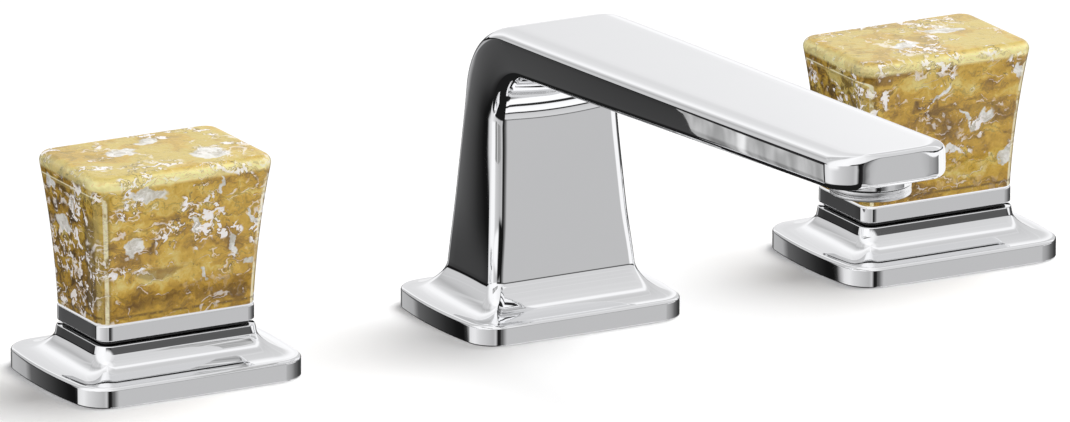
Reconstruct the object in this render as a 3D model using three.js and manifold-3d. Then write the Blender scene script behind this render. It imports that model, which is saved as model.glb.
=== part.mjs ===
import * as THREE from 'three';
import { mergeVertices } from 'three/addons/utils/BufferGeometryUtils.js';
import Module from 'manifold-3d';

// Widespread bathroom faucet: a spout and two block handles, each on its own plate.
// Millimetres, +Z up. The deck's top is z = 0 and the spout stands on the Z axis.
// The units stand in a row along X, and the spout reaches towards -Y.

// Spacing of the units and general clearances
const unitSpacing = 101.6;
const fitGap = 0.3;
const seatGap = 0.2;
const overrun = 1;
const deckThickness = 25;

// Plates under the handles
const handlePlateLength = 59.8;
const handlePlateCorner = 7.6;
const neckLength = 41.4;
const neckDepth = 25;
const neckCorner = 3.4;
const neckTop = 11.4;
const neckEdge = 0.4;
const neckCoveTop = 9.5;

// Both kinds of plate
const plateEndBow = 1;
const plateSideBow = 0.15;
const rimHeight = 4.9;
const rimRounding = 0.9;
const rimWall = 2.6;
const recessDepth = 2.6;
const coveRunShares = [1, 0.73, 0.5, 0.32, 0.18, 0.07, 0];
const coveRiseShares = [0, 0.07, 0.18, 0.34, 0.53, 0.78, 1];

// Gaskets between plates and deck
const gasketThickness = 2.2;
const gasketWidth = 2.2;

// Handle: glide ring, band, block and hub
const glideInset = 1.4;
const glideThickness = 0.5;
const recessGap = 1;
const bandInset = 0.25;
const bandHeight = 3.8;
const bandEdge = 0.35;
const blockHeight = 36;
const blockTopLength = 46.9;
const blockTopDepth = 31.9;
const blockTopCorner = 4.1;
const blockEdge = 2.2;
const blockFootEdge = 0.4;
const flareRiseShares = [0, 0.2, 0.4, 0.6, 0.8, 1];
const flareShares = [0, 0.11, 0.27, 0.47, 0.72, 1];
const hubWall = 1.6;
const hubRise = 19;
const hubFlangeLap = 2.6;
const hubFlangeThickness = 1.2;
const setScrewRadius = 1.2;
const setScrewSocket = 0.6;
const setScrewSocketDepth = 2;

// Valve: stem, cartridge, discs and body
const stemRadius = 4.1;
const stemSplineDepth = 0.35;
const stemSplineLength = 9;
const stemTop = 27;
const stemCollarLength = 4;
const tangLength = 8;
const tangWidth = 2.2;
const tangDrop = 3;
const sleeveWall = 1.2;
const sleeveTop = 8;
const sleeveThroat = 4.3;
const sleeveThroatTop = 5.3;
const stemSealThickness = 1.9;
const discRadius = 5.7;
const movingDiscThickness = 6;
const channelLength = 9;
const channelWidth = 3.4;
const channelDepth = 1.5;
const fixedDiscThickness = 2.5;
const portOffset = 3;
const portRadius = 1.6;
const seatSealThickness = 2.4;
const bonnetLap = 2.2;
const bonnetThickness = 2.2;
const bodyRadius = 13;
const bodyNeckWall = 2.45;
const bodyShoulder = 2;
const bodyLength = 62;
const inletRadius = 6;
const inletDepth = 12;
const passageRadius = 2.3;
const outletDrop = 42;
const outletBoreRadius = 2.7;
const nippleRadius = 5.6;
const nippleReach = 23;

// Clamping to the deck: how far the ring above it and the nuts below it pass the valve's body
const mountRingWidth = 4.2;
const clampLap = 7;
const washerThickness = 2;
const lockNutThickness = 6;

// Spout plate and column
const spoutPlateLength = 57.8;
const spoutPlateDepth = 44.6;
const spoutPlateCorner = 7;
const columnFoot = 12.4;
const columnFootLength = 38.9;
const columnFootFront = 12.4;
const columnFootBack = 11.6;
const columnCorner = 2.8;
const columnFrontLean = 5;
const columnBackLean = 4.8;
const columnRiseShares = [0, 0.25, 0.5, 0.75, 1];

// Spout arch and paddle
const paddleLength = 33.8;
const paddleTipLength = 30.6;
const paddleEdge = 2.3;
const undersideAtColumn = 61.6;
const paddleRise = 10;
const paddleThickness = 10.3;
const paddleTipThickness = 8.2;
const archInnerRadius = 13.4;
const archOuterRadius = 18.6;
const spoutReach = 164;
const tipCorner = 7;
const tipEndBow = 1.4;
const tipEdge = 1.2;
const tipUnderEdge = 2.6;
const paddleShares = [0, 0.25, 0.5, 0.75, 1];

// Waterway inside the spout
const columnWall = 4;
const paddleWall = 1.8;
const paddleSideWall = 5;
const socketRadius = 10.5;
const socketDepth = 7;
const socketBossWall = 2.4;

// Aerator
const aeratorInset = 13;
const collarRadius = 9.4;
const collarDrop = 1.3;
const aeratorRadius = 9.2;
const aeratorRim = 2.2;
const aeratorThreadRadius = 8.2;
const aeratorThread = 3.6;
const aeratorBore = 6.9;
const aeratorLip = 6.3;
const aeratorLipThickness = 0.8;
const aeratorRoof = 2.3;
const insertThickness = 3;
const insertHoleRadius = 1.3;
const insertHoleCircle = 4.2;
const screenThickness = 0.5;
const screenHoleRadius = 0.8;
const aeratorSealBore = 5.5;
const aeratorSealThickness = 0.8;

// Spout shank and tee
const shankBore = 6.5;
const shankLength = 60;
const shankSealSection = 1.8;
const teeWall = 3;
const teeTopDrop = 44;
const teeBottomDrop = 72;
const teeChamberDrop = 69;

// Facets of round work
const roundSides = 20;
const smallSides = 12;
const holeSides = 8;
const cornerSteps = 4;
const endSteps = 2;
const sideSteps = 4;
const archSteps = 7;
const tipSteps = 6;
const edgeSteps = 3;
const splineTeeth = 12;
const hexSides = 6;

const wasm = await Module();
wasm.setup();

const chrome = { color: 0xd9dbde, roughness: 0.07, metalness: 1 };
const goldBlock = { color: 0xc29c48, roughness: 0.12, metalness: 0.25 };
const brass = { color: 0xb79a5c, roughness: 0.3, metalness: 1 };
const steel = { color: 0xa9adb1, roughness: 0.35, metalness: 1 };
const rubber = { color: 0x1b1b1c, roughness: 0.75, metalness: 0 };
const foam = { color: 0x2b2c2e, roughness: 0.95, metalness: 0 };
const blackPlastic = { color: 0x141416, roughness: 0.4, metalness: 0 };
const greyPlastic = { color: 0xb8bcc0, roughness: 0.45, metalness: 0 };
const ceramic = { color: 0xf1efe9, roughness: 0.2, metalness: 0 };

// Solids from closed geometries

function signedVolume(vertices, triangles) {
  const [a, b, c] = [new THREE.Vector3(), new THREE.Vector3(), new THREE.Vector3()];
  let total = 0;
  for (let i = 0; i < triangles.length; i += 3) {
    a.fromArray(vertices, 3 * triangles[i]);
    b.fromArray(vertices, 3 * triangles[i + 1]);
    c.fromArray(vertices, 3 * triangles[i + 2]);
    total += a.dot(b.cross(c));
  }
  return total;
}

function solid(source) {
  const bare = source.clone();
  bare.deleteAttribute('normal');
  bare.deleteAttribute('uv');
  const merged = mergeVertices(bare);
  const vertices = new Float32Array(merged.attributes.position.array);
  const kept = [];
  for (let i = 0; i < merged.index.count; i += 3) {
    const corners = [0, 1, 2].map((k) => merged.index.getX(i + k));
    if (new Set(corners).size === 3) kept.push(...corners);
  }
  if (signedVolume(vertices, kept) < 0) kept.reverse();
  const mesh = { numProp: 3, vertProperties: vertices, triVerts: new Uint32Array(kept) };
  return new wasm.Manifold(new wasm.Mesh(mesh));
}

function geometryOf(manifold) {
  const mesh = manifold.getMesh();
  const geometry = new THREE.BufferGeometry();
  geometry.setAttribute('position', new THREE.BufferAttribute(mesh.vertProperties.slice(), 3));
  geometry.setIndex(new THREE.BufferAttribute(mesh.triVerts.slice(), 1));
  geometry.computeVertexNormals();
  return geometry;
}

function cut(blank, ...tools) {
  return tools.reduce((left, tool) => left.subtract(tool), blank);
}

function joined(first, ...others) {
  return others.reduce((left, other) => left.add(other), first);
}

// An upright cylinder between two heights, or a hexagon with six sides
function rod(radius, bottom, top, sides = roundSides, x = 0, y = 0) {
  const geometry = new THREE.CylinderGeometry(radius, radius, top - bottom, sides);
  geometry.rotateX(Math.PI / 2);
  geometry.translate(x, y, (bottom + top) / 2);
  return solid(geometry);
}

// A cylinder lying along X
function rodAlongX(radius, from, to, y, z, sides = smallSides) {
  const geometry = new THREE.CylinderGeometry(radius, radius, Math.abs(to - from), sides);
  geometry.rotateZ(Math.PI / 2);
  geometry.translate((from + to) / 2, y, z);
  return solid(geometry);
}

// A cylinder lying along Y
function rodAlongY(radius, from, to, z, sides = smallSides) {
  const geometry = new THREE.CylinderGeometry(radius, radius, to - from, sides);
  geometry.translate(0, (from + to) / 2, z);
  return solid(geometry);
}

function box(length, depth, bottom, top) {
  const geometry = new THREE.BoxGeometry(length, depth, top - bottom);
  geometry.translate(0, 0, (bottom + top) / 2);
  return solid(geometry);
}

// A turned ring between two radii and two heights
function ring(innerRadius, outerRadius, bottom, top, sides = roundSides) {
  const corners = [
    [innerRadius, bottom],
    [outerRadius, bottom],
    [outerRadius, top],
    [innerRadius, top],
    [innerRadius, bottom],
  ];
  const profile = corners.map(([radius, height]) => new THREE.Vector2(radius, height));
  const geometry = new THREE.LatheGeometry(profile, sides);
  geometry.rotateX(Math.PI / 2);
  return solid(geometry);
}

// A rounded rectangle with outwards bowed ends and sides, as points in the order of a turn
// to the left. The given length and depth are measured at the middles of the bows.
function outline(length, depth, corner, endBow = 0, sideBow = 0) {
  const coreX = length / 2 - corner - endBow;
  const coreY = depth / 2 - corner - sideBow;
  const sides = [
    { at: (t) => [coreX + endBow * (1 - t * t), coreY * t], out: (t) => [1, (2 * endBow * t) / coreY] },
    { at: (t) => [-coreX * t, coreY + sideBow * (1 - t * t)], out: (t) => [(-2 * sideBow * t) / coreX, 1] },
    { at: (t) => [-coreX - endBow * (1 - t * t), -coreY * t], out: (t) => [-1, (-2 * endBow * t) / coreY] },
    { at: (t) => [coreX * t, -coreY - sideBow * (1 - t * t)], out: (t) => [(2 * sideBow * t) / coreX, -1] },
  ];
  const points = [];
  sides.forEach((side, k) => {
    const steps = k % 2 === 0 ? endSteps : sideSteps;
    for (let i = 0; i <= steps; i += 1) {
      const t = -1 + (2 * i) / steps;
      const normal = new THREE.Vector2(...side.out(t)).normalize();
      points.push(new THREE.Vector2(...side.at(t)).addScaledVector(normal, corner));
    }
    const next = sides[(k + 1) % 4];
    const centre = new THREE.Vector2(...side.at(1));
    const startAngle = new THREE.Vector2(...side.out(1)).angle();
    const endAngle = new THREE.Vector2(...next.out(-1)).angle();
    const turn = (endAngle - startAngle + 2 * Math.PI) % (2 * Math.PI);
    for (let i = 1; i < cornerSteps; i += 1) {
      const angle = startAngle + (turn * i) / cornerSteps;
      const spoke = new THREE.Vector2(Math.cos(angle), Math.sin(angle));
      points.push(centre.clone().addScaledVector(spoke, corner));
    }
  });
  return points;
}

// A level ring of a loft
function levelRing(points, z) {
  return points.map((point) => new THREE.Vector3(point.x, point.y, z));
}

// A closed skin over rings that all have the same number of points. The ends are closed by
// strips between the points that face each other, so a bowed end stays bowed.
function loft(rings) {
  const count = rings[0].length;
  const positions = rings.flat().flatMap((point) => point.toArray());
  const index = [];
  for (let r = 0; r + 1 < rings.length; r += 1) {
    for (let i = 0; i < count; i += 1) {
      const a = r * count + i;
      const b = r * count + ((i + 1) % count);
      index.push(a, b, b + count, a, b + count, a + count);
    }
  }
  const middle = endSteps / 2;
  for (const start of [0, (rings.length - 1) * count]) {
    const at = (i) => start + ((i + count) % count);
    for (let k = 0; k < count / 2; k += 1) {
      const strip = [at(middle - k), at(middle + k), at(middle - k - 1)];
      strip.push(at(middle + k), at(middle + k + 1), at(middle - k - 1));
      index.push(...(start === 0 ? strip.reverse() : strip));
    }
  }
  const geometry = new THREE.BufferGeometry();
  geometry.setAttribute('position', new THREE.Float32BufferAttribute(positions, 3));
  geometry.setIndex(index);
  return solid(geometry);
}

// Pieces

const faucet = new THREE.Group();

function unit(x) {
  const group = new THREE.Group();
  group.position.x = x;
  faucet.add(group);
  return group;
}

function piece(parent, name, look, manifold) {
  const mesh = new THREE.Mesh(geometryOf(manifold), new THREE.MeshStandardMaterial(look));
  mesh.name = name;
  parent.add(mesh);
}

// Rings of a plate from the deck up its rim and along the cove to a neck
function plateRings(sizes) {
  const { length, depth, corner, neckLong, neckDeep, neckRound, coveTop, neckShift } = sizes;
  const rings = [];
  const rim = (inset, z) => {
    const [long, deep] = [length - 2 * inset, depth - 2 * inset];
    rings.push(levelRing(outline(long, deep, corner - inset, plateEndBow, plateSideBow), z));
  };
  rim(0, 0);
  for (let i = 0; i <= edgeSteps; i += 1) {
    const angle = (Math.PI / 2) * (i / edgeSteps);
    rim(rimRounding * (1 - Math.cos(angle)), rimHeight - rimRounding * (1 - Math.sin(angle)));
  }
  coveRunShares.slice(1).forEach((run, i) => {
    const rise = coveRiseShares[i + 1];
    const blend = (from, to) => to + (from - to) * run;
    const points = outline(
      blend(length - 2 * rimRounding, neckLong),
      blend(depth - 2 * rimRounding, neckDeep),
      blend(corner - rimRounding, neckRound),
      plateEndBow * run,
      plateSideBow * run,
    );
    const shift = neckShift * (1 - run);
    points.forEach((point) => (point.y += shift));
    rings.push(levelRing(points, rimHeight + (coveTop - rimHeight) * rise));
  });
  return rings;
}

// The hollow under a plate, which its gasket fills
function plateRecess(length, depth, corner, inset, bottom, top) {
  const points = outline(
    length - 2 * inset,
    depth - 2 * inset,
    Math.max(corner - inset, rimWall),
    plateEndBow,
    plateSideBow,
  );
  return loft([levelRing(points, bottom), levelRing(points, top)]);
}

// Radii from the stem outwards
const hubRadius = stemRadius + fitGap + hubWall;
const hubFlangeRadius = hubRadius + hubFlangeLap;
const sleeveRadius = discRadius + fitGap + sleeveWall;
const bonnetRadius = sleeveRadius + bonnetLap;
const bodyNeckRadius = sleeveRadius + fitGap + bodyNeckWall;
const neckBoreRadius = bodyNeckRadius + fitGap;

// The ring on the deck lies inside the gasket, and the gasket inside the plate's rim
const mountRingRadius = bodyRadius + fitGap + mountRingWidth;
const gasketInset = rimWall + fitGap;
const handlePlateDepth = 2 * (mountRingRadius + fitGap + gasketWidth + gasketInset);
const clampRadius = bodyRadius + clampLap;

// Heights and sizes along a handle's stack
const bandLength = neckLength - 2 * bandInset;
const bandDepth = neckDepth - 2 * bandInset;
const bandCorner = neckCorner - bandInset;
const bandBottom = neckTop + recessGap;
const bandTop = bandBottom + bandHeight;
const blockBottom = bandTop + seatGap;
const blockTop = blockBottom + blockHeight;
const screwHeight = bandBottom + bandHeight / 2;
const washerTop = -deckThickness;
const lockNutTop = washerTop - washerThickness - seatGap;

function handlePlate() {
  const rings = plateRings({
    length: handlePlateLength,
    depth: handlePlateDepth,
    corner: handlePlateCorner,
    neckLong: neckLength,
    neckDeep: neckDepth,
    neckRound: neckCorner,
    coveTop: neckCoveTop,
    neckShift: 0,
  });
  for (const inset of [0, neckEdge]) {
    const points = outline(neckLength - 2 * inset, neckDepth - 2 * inset, neckCorner - inset);
    rings.push(levelRing(points, neckTop - neckEdge + inset));
  }
  const recess = plateRecess(
    handlePlateLength, handlePlateDepth, handlePlateCorner, rimWall, -overrun, recessDepth,
  );
  return cut(loft(rings), recess, rod(neckBoreRadius, 0, neckTop + overrun));
}

function gasket(length, depth, corner, bore) {
  const blank = plateRecess(length, depth, corner, gasketInset, 0, gasketThickness);
  return cut(blank, rod(bore, -overrun, gasketThickness + overrun));
}

function glideRing() {
  const middle = (neckTop + bandBottom) / 2;
  const points = outline(
    neckLength - 2 * glideInset,
    neckDepth - 2 * glideInset,
    Math.max(neckCorner - glideInset, glideThickness),
  );
  const bottom = middle - glideThickness / 2;
  const top = middle + glideThickness / 2;
  const blank = loft([levelRing(points, bottom), levelRing(points, top)]);
  return cut(blank, rod(hubFlangeRadius + 2 * fitGap, bottom - overrun, top + overrun));
}

function screwTunnel() {
  return rodAlongY(setScrewRadius + fitGap, 0, bandDepth / 2 + overrun, screwHeight);
}

function band() {
  const rings = [];
  const level = (inset, z) => {
    const points = outline(bandLength - 2 * inset, bandDepth - 2 * inset, bandCorner - inset);
    rings.push(levelRing(points, z));
  };
  level(bandEdge, bandBottom);
  level(0, bandBottom + bandEdge);
  level(0, bandTop - bandEdge);
  level(bandEdge, bandTop);
  const bore = rod(hubRadius + fitGap, bandBottom - overrun, bandTop + overrun);
  return cut(loft(rings), bore, screwTunnel());
}

function block() {
  const rings = [];
  const level = (flare, inset, z) => {
    const points = outline(
      bandLength + (blockTopLength - bandLength) * flare - 2 * inset,
      bandDepth + (blockTopDepth - bandDepth) * flare - 2 * inset,
      bandCorner + (blockTopCorner - bandCorner) * flare - inset,
    );
    rings.push(levelRing(points, z));
  };
  level(0, blockFootEdge, blockBottom);
  const flareFoot = blockBottom + blockFootEdge;
  const flareTop = blockTop - blockEdge;
  flareRiseShares.forEach((rise, i) => {
    level(flareShares[i], 0, flareFoot + (flareTop - flareFoot) * rise);
  });
  for (let i = 1; i <= edgeSteps; i += 1) {
    const angle = (Math.PI / 2) * (i / edgeSteps);
    level(1, blockEdge * (1 - Math.cos(angle)), flareTop + blockEdge * Math.sin(angle));
  }
  const bore = rod(hubRadius + fitGap, blockBottom - overrun, blockBottom + hubRise + fitGap);
  return cut(loft(rings), bore);
}

function hub() {
  const flangeTop = bandBottom - seatGap;
  const flangeBottom = flangeTop - hubFlangeThickness;
  const blank = joined(
    rod(hubRadius, flangeBottom, blockBottom + hubRise),
    rod(hubFlangeRadius, flangeBottom, flangeTop),
  );
  return cut(blank, rod(stemRadius + fitGap, flangeBottom - overrun, stemTop + fitGap), screwTunnel());
}

function setScrew() {
  const tip = stemRadius + fitGap;
  const head = bandDepth / 2 - fitGap;
  const socket = rodAlongY(
    setScrewSocket, head - setScrewSocketDepth, head + overrun, screwHeight, hexSides,
  );
  return cut(rodAlongY(setScrewRadius, tip, head, screwHeight), socket);
}

// Heights down a valve
const collarTop = sleeveThroatTop - sleeveThroat;
const collarFoot = collarTop - fitGap - stemCollarLength;
const movingDiscTop = collarFoot - fitGap;
const movingDiscFoot = movingDiscTop - movingDiscThickness;
const fixedDiscTop = movingDiscFoot - seatGap;
const fixedDiscFoot = fixedDiscTop - fixedDiscThickness;
const seatSealTop = fixedDiscFoot - seatGap;
const seatSealFoot = seatSealTop - seatSealThickness;
const bodySeat = seatSealFoot - seatGap;

function splines() {
  const points = [];
  for (let i = 0; i < 2 * splineTeeth; i += 1) {
    const angle = (Math.PI * i) / splineTeeth;
    const radius = stemRadius - (i % 2) * stemSplineDepth;
    points.push(new THREE.Vector2(radius * Math.cos(angle), radius * Math.sin(angle)));
  }
  const settings = { depth: stemSplineLength, bevelEnabled: false };
  const geometry = new THREE.ExtrudeGeometry(new THREE.Shape(points), settings);
  geometry.translate(0, 0, stemTop - stemSplineLength);
  return solid(geometry);
}

function stem() {
  const collar = rod(discRadius, collarFoot, collarTop - fitGap);
  const tang = box(tangLength, tangWidth, collarFoot - tangDrop, collarTop - fitGap);
  const shaft = rod(stemRadius - stemSplineDepth, collarFoot, stemTop - stemSplineLength + overrun);
  return joined(shaft, splines(), collar, tang);
}

function sleeve() {
  const foot = bodySeat + seatGap;
  const chamber = discRadius + fitGap;
  return cut(
    rod(sleeveRadius, foot, sleeveTop),
    rod(chamber, sleeveThroatTop, sleeveTop + overrun),
    rod(stemRadius + fitGap, foot, sleeveTop),
    rod(chamber, foot - overrun, collarTop),
  );
}

function stemSeal() {
  const bottom = sleeveThroatTop + seatGap;
  return ring(stemRadius + fitGap / 2, discRadius, bottom, bottom + stemSealThickness);
}

function ports(radius, bottom, top) {
  return [-portOffset, portOffset].map((y) => rod(radius, bottom, top, smallSides, 0, y));
}

function movingDisc() {
  const slotDrop = tangDrop + fitGap;
  const slotWidth = tangWidth + 2 * fitGap;
  const slot = box(
    tangLength + 2 * fitGap, slotWidth, movingDiscTop - slotDrop, movingDiscTop + overrun,
  );
  const channel = box(
    channelWidth, channelLength, movingDiscFoot - overrun, movingDiscFoot + channelDepth,
  );
  return cut(rod(discRadius, movingDiscFoot, movingDiscTop), slot, channel);
}

function fixedDisc() {
  const blank = rod(discRadius, fixedDiscFoot, fixedDiscTop);
  return cut(blank, ...ports(portRadius, fixedDiscFoot - overrun, fixedDiscTop + overrun));
}

function seatSeal() {
  const blank = rod(discRadius, seatSealFoot, seatSealTop);
  return cut(blank, ...ports(portRadius, seatSealFoot - overrun, seatSealTop + overrun));
}

function bonnetNut() {
  const bottom = sleeveTop + seatGap;
  const top = bottom + bonnetThickness;
  const blank = rod(bonnetRadius, bottom, top, hexSides);
  return cut(blank, rod(stemRadius + fitGap, bottom - overrun, top + overrun));
}

// The side of the outlet is 1 towards +X and -1 towards -X
function valveBody(side) {
  const bottom = -bodyLength;
  const inletTop = bottom + inletDepth;
  const blank = joined(
    rod(bodyRadius, bottom, bodyShoulder),
    rod(bodyNeckRadius, 0, sleeveTop),
    rodAlongX(nippleRadius, 0, side * nippleReach, portOffset, -outletDrop),
  );
  const [inlet, outlet] = [-portOffset, portOffset];
  return cut(
    blank,
    rod(sleeveRadius + fitGap, bodySeat, sleeveTop + overrun),
    rod(passageRadius, inletTop - overrun, bodySeat + overrun, smallSides, 0, inlet),
    rod(inletRadius, bottom - overrun, inletTop),
    rod(passageRadius, -outletDrop, bodySeat + overrun, smallSides, 0, outlet),
    rodAlongX(outletBoreRadius, 0, side * (nippleReach + overrun), outlet, -outletDrop),
  );
}

function mountRing() {
  return ring(bodyRadius + fitGap, mountRingRadius, seatGap, bodyShoulder);
}

function washer(shaftRadius) {
  return ring(shaftRadius + fitGap, clampRadius, washerTop - washerThickness, washerTop);
}

function lockNut(shaftRadius) {
  const bottom = lockNutTop - lockNutThickness;
  const blank = rod(clampRadius, bottom, lockNutTop, hexSides);
  return cut(blank, rod(shaftRadius + fitGap, bottom - overrun, lockNutTop + overrun));
}

function addHandle(x, side, suffix) {
  const group = unit(x);
  const add = (name, look, manifold) => piece(group, `${name}_${suffix}`, look, manifold);
  add('handle_plate', chrome, handlePlate());
  add('plate_gasket', foam, gasket(
    handlePlateLength, handlePlateDepth, handlePlateCorner, mountRingRadius + fitGap,
  ));
  add('glide_ring', blackPlastic, glideRing());
  add('handle_band', chrome, band());
  add('handle_block', goldBlock, block());
  add('handle_hub', brass, hub());
  add('set_screw', steel, setScrew());
  add('valve_stem', brass, stem());
  add('stem_seal', rubber, stemSeal());
  add('bonnet_nut', brass, bonnetNut());
  add('cartridge_sleeve', brass, sleeve());
  add('moving_disc', ceramic, movingDisc());
  add('fixed_disc', ceramic, fixedDisc());
  add('seat_seal', rubber, seatSeal());
  add('valve_body', brass, valveBody(side));
  add('mount_ring', brass, mountRing());
  add('deck_washer', steel, washer(bodyRadius));
  add('lock_nut', brass, lockNut(bodyRadius));
}

// Heights of the paddle, and of the aerator under it
const undersideAtTip = undersideAtColumn + paddleRise;
const topAtColumn = undersideAtColumn + paddleThickness;
const topAtTip = undersideAtTip + paddleTipThickness;
const aeratorCentre = spoutReach - aeratorInset;
const aeratorShare = aeratorCentre / spoutReach;
const collarBottom = undersideAtColumn + paddleRise * aeratorShare - collarDrop;
const aeratorCavityTop = topAtColumn + (topAtTip - topAtColumn) * aeratorShare - aeratorRoof;

// Radii round the shank
const socketBossRadius = socketRadius + shankSealSection + fitGap + socketBossWall;
const teeRadius = socketRadius + teeWall;

// Side view of the spout: the front and back lines of the column turn into the underside
// and the top of the paddle. Points are (y, z).

function crossing(from, towards, start, along) {
  const a = towards.clone().sub(from);
  const b = along.clone().sub(start);
  const gap = start.clone().sub(from);
  return from.clone().addScaledVector(a, gap.cross(b) / a.cross(b));
}

// The points of a round turn between two straight lines that meet at a corner
function roundTurn(from, corner, to, radius) {
  const back = from.clone().sub(corner).normalize();
  const ahead = to.clone().sub(corner).normalize();
  const half = Math.acos(back.dot(ahead)) / 2;
  const bisector = back.clone().add(ahead).normalize();
  const centre = corner.clone().addScaledVector(bisector, radius / Math.sin(half));
  const start = corner.clone().addScaledVector(back, radius / Math.tan(half));
  const turn = Math.sign(back.cross(ahead)) * (2 * half - Math.PI);
  const points = [];
  for (let i = 0; i <= archSteps; i += 1) {
    points.push(start.clone().rotateAround(centre, (turn * i) / archSteps));
  }
  return points;
}

function sideLines() {
  const archHeight = undersideAtColumn - columnFoot;
  const frontFoot = new THREE.Vector2(-columnFootFront, columnFoot);
  const frontHigh = new THREE.Vector2(-columnFootFront + columnFrontLean, columnFoot + archHeight);
  const backFoot = new THREE.Vector2(columnFootBack, columnFoot);
  const backHigh = new THREE.Vector2(columnFootBack - columnBackLean, columnFoot + archHeight);
  const underBack = new THREE.Vector2(0, undersideAtColumn);
  const underTip = new THREE.Vector2(-spoutReach, undersideAtTip);
  const topBack = new THREE.Vector2(0, topAtColumn);
  const topTip = new THREE.Vector2(-spoutReach, topAtTip);
  const frontCorner = crossing(frontFoot, frontHigh, underBack, underTip);
  const backCorner = crossing(backFoot, backHigh, topBack, topTip);
  const innerTurn = roundTurn(frontFoot, frontCorner, underTip, archInnerRadius);
  const outerTurn = roundTurn(backFoot, backCorner, topTip, archOuterRadius);
  return {
    inner: { foot: frontFoot, turn: innerTurn, tip: underTip },
    outer: { foot: backFoot, turn: outerTurn, tip: topTip },
  };
}

// Stations along the spout: the two ends of each section in side view, its length along X,
// its corner radius and how far it lies along the column and the paddle
function spoutStations() {
  const { inner, outer } = sideLines();
  const stations = [];
  const narrowing = columnFootLength - paddleLength;
  columnRiseShares.slice(0, -1).forEach((rise) => {
    stations.push({
      low: inner.foot.clone().lerp(inner.turn[0], rise),
      high: outer.foot.clone().lerp(outer.turn[0], rise),
      length: columnFootLength - narrowing * rise,
      corner: columnCorner,
      wall: columnWall,
      sideWall: columnWall,
    });
  });
  inner.turn.forEach((low, i) => {
    const share = i / archSteps;
    stations.push({
      low,
      high: outer.turn[i],
      length: paddleLength,
      corner: columnCorner + (paddleEdge - columnCorner) * share,
      wall: columnWall + (paddleWall - columnWall) * share,
      sideWall: columnWall + (paddleSideWall - columnWall) * share,
    });
  });
  const blendTo = (share) => ({
    low: inner.turn[archSteps].clone().lerp(inner.tip, share),
    high: outer.turn[archSteps].clone().lerp(outer.tip, share),
    length: paddleLength + (paddleTipLength - paddleLength) * share,
    corner: paddleEdge,
    wall: paddleWall,
    sideWall: paddleSideWall,
  });
  const run = inner.turn[archSteps].distanceTo(inner.tip);
  const lastShare = 1 - tipCorner / run;
  paddleShares.slice(1).forEach((share) => stations.push(blendTo(share * lastShare)));
  return { stations, blendTo, run };
}

function stationRing(station, wall = 0, sideWall = 0) {
  const across = station.high.clone().sub(station.low);
  const middle = station.low.clone().add(station.high).multiplyScalar(1 / 2);
  const depth = across.length() - 2 * wall;
  const up = across.normalize();
  const corner = Math.min(station.corner, depth / 2 - paddleEdge / 2);
  const points = outline(station.length - 2 * sideWall, depth, corner);
  return points.map(({ x, y }) => new THREE.Vector3(x, middle.x + y * up.x, middle.y + y * up.y));
}

// How far a round edge draws in at a distance back from the end
function drawnIn(radius, back) {
  return back < radius ? radius - Math.sqrt(radius ** 2 - (radius - back) ** 2) : 0;
}

// The rounded end of the paddle: its plan has round corners and a bowed end, and its edges
// are rounded, more so underneath
function tipRings(blendTo, run) {
  const rings = [];
  for (let i = 1; i <= tipSteps; i += 1) {
    const back = tipCorner * (1 - Math.sin((Math.PI / 2) * (i / tipSteps)));
    const station = blendTo(1 - back / run);
    const across = station.high.clone().sub(station.low).normalize();
    station.low.addScaledVector(across, drawnIn(tipUnderEdge, back));
    station.high.addScaledVector(across, -drawnIn(tipEdge, back));
    station.length -= 2 * drawnIn(tipCorner, back);
    const ring = stationRing(station);
    const bow = tipEndBow * (i / tipSteps);
    ring.forEach((point) => (point.y += bow * ((2 * point.x) / paddleTipLength) ** 2));
    rings.push(ring);
  }
  return rings;
}

function spoutBody() {
  const { stations, blendTo, run } = spoutStations();
  const plate = plateRings({
    length: spoutPlateLength,
    depth: spoutPlateDepth,
    corner: spoutPlateCorner,
    neckLong: columnFootLength,
    neckDeep: columnFootFront + columnFootBack,
    neckRound: columnCorner,
    coveTop: columnFoot,
    neckShift: (columnFootBack - columnFootFront) / 2,
  });
  const skin = [
    ...plate,
    ...stations.slice(1).map((station) => stationRing(station)),
    ...tipRings(blendTo, run),
  ];
  const insideStations = stations.filter((station) => station.low.x > -aeratorCentre);
  insideStations.push(blendTo(1 - aeratorInset / run));
  const water = insideStations.map((station) => stationRing(station, station.wall, station.sideWall));
  const recess = cut(
    plateRecess(spoutPlateLength, spoutPlateDepth, spoutPlateCorner, rimWall, -overrun, recessDepth),
    rod(socketBossRadius, -2 * overrun, recessDepth + overrun),
  );
  const collar = rod(collarRadius, collarBottom, undersideAtTip + overrun, roundSides, 0, -aeratorCentre);
  return cut(
    joined(loft(skin), collar),
    loft(water),
    recess,
    rod(socketRadius, -overrun, socketDepth),
    rod(shankBore, 0, columnFoot + overrun),
    rod(socketRadius + shankSealSection + fitGap, -overrun, shankSealSection + 2 * seatGap),
    rod(
      aeratorThreadRadius + fitGap, collarBottom - overrun, aeratorCavityTop, roundSides, 0, -aeratorCentre,
    ),
  );
}

// Aerator, from the rim up
const aeratorFace = collarBottom - seatGap - aeratorRim;
const aeratorTop = collarBottom - seatGap + aeratorThread;
const insertBottom = aeratorFace + aeratorLipThickness + seatGap;
const screenBottom = insertBottom + insertThickness + seatGap;

function aeratorHousing() {
  return cut(
    joined(
      rod(aeratorRadius, aeratorFace, collarBottom - seatGap),
      rod(aeratorThreadRadius, aeratorFace, aeratorTop),
    ),
    rod(aeratorLip, aeratorFace - overrun, aeratorTop),
    rod(aeratorBore, aeratorFace + aeratorLipThickness, aeratorTop + overrun),
  );
}

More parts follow.
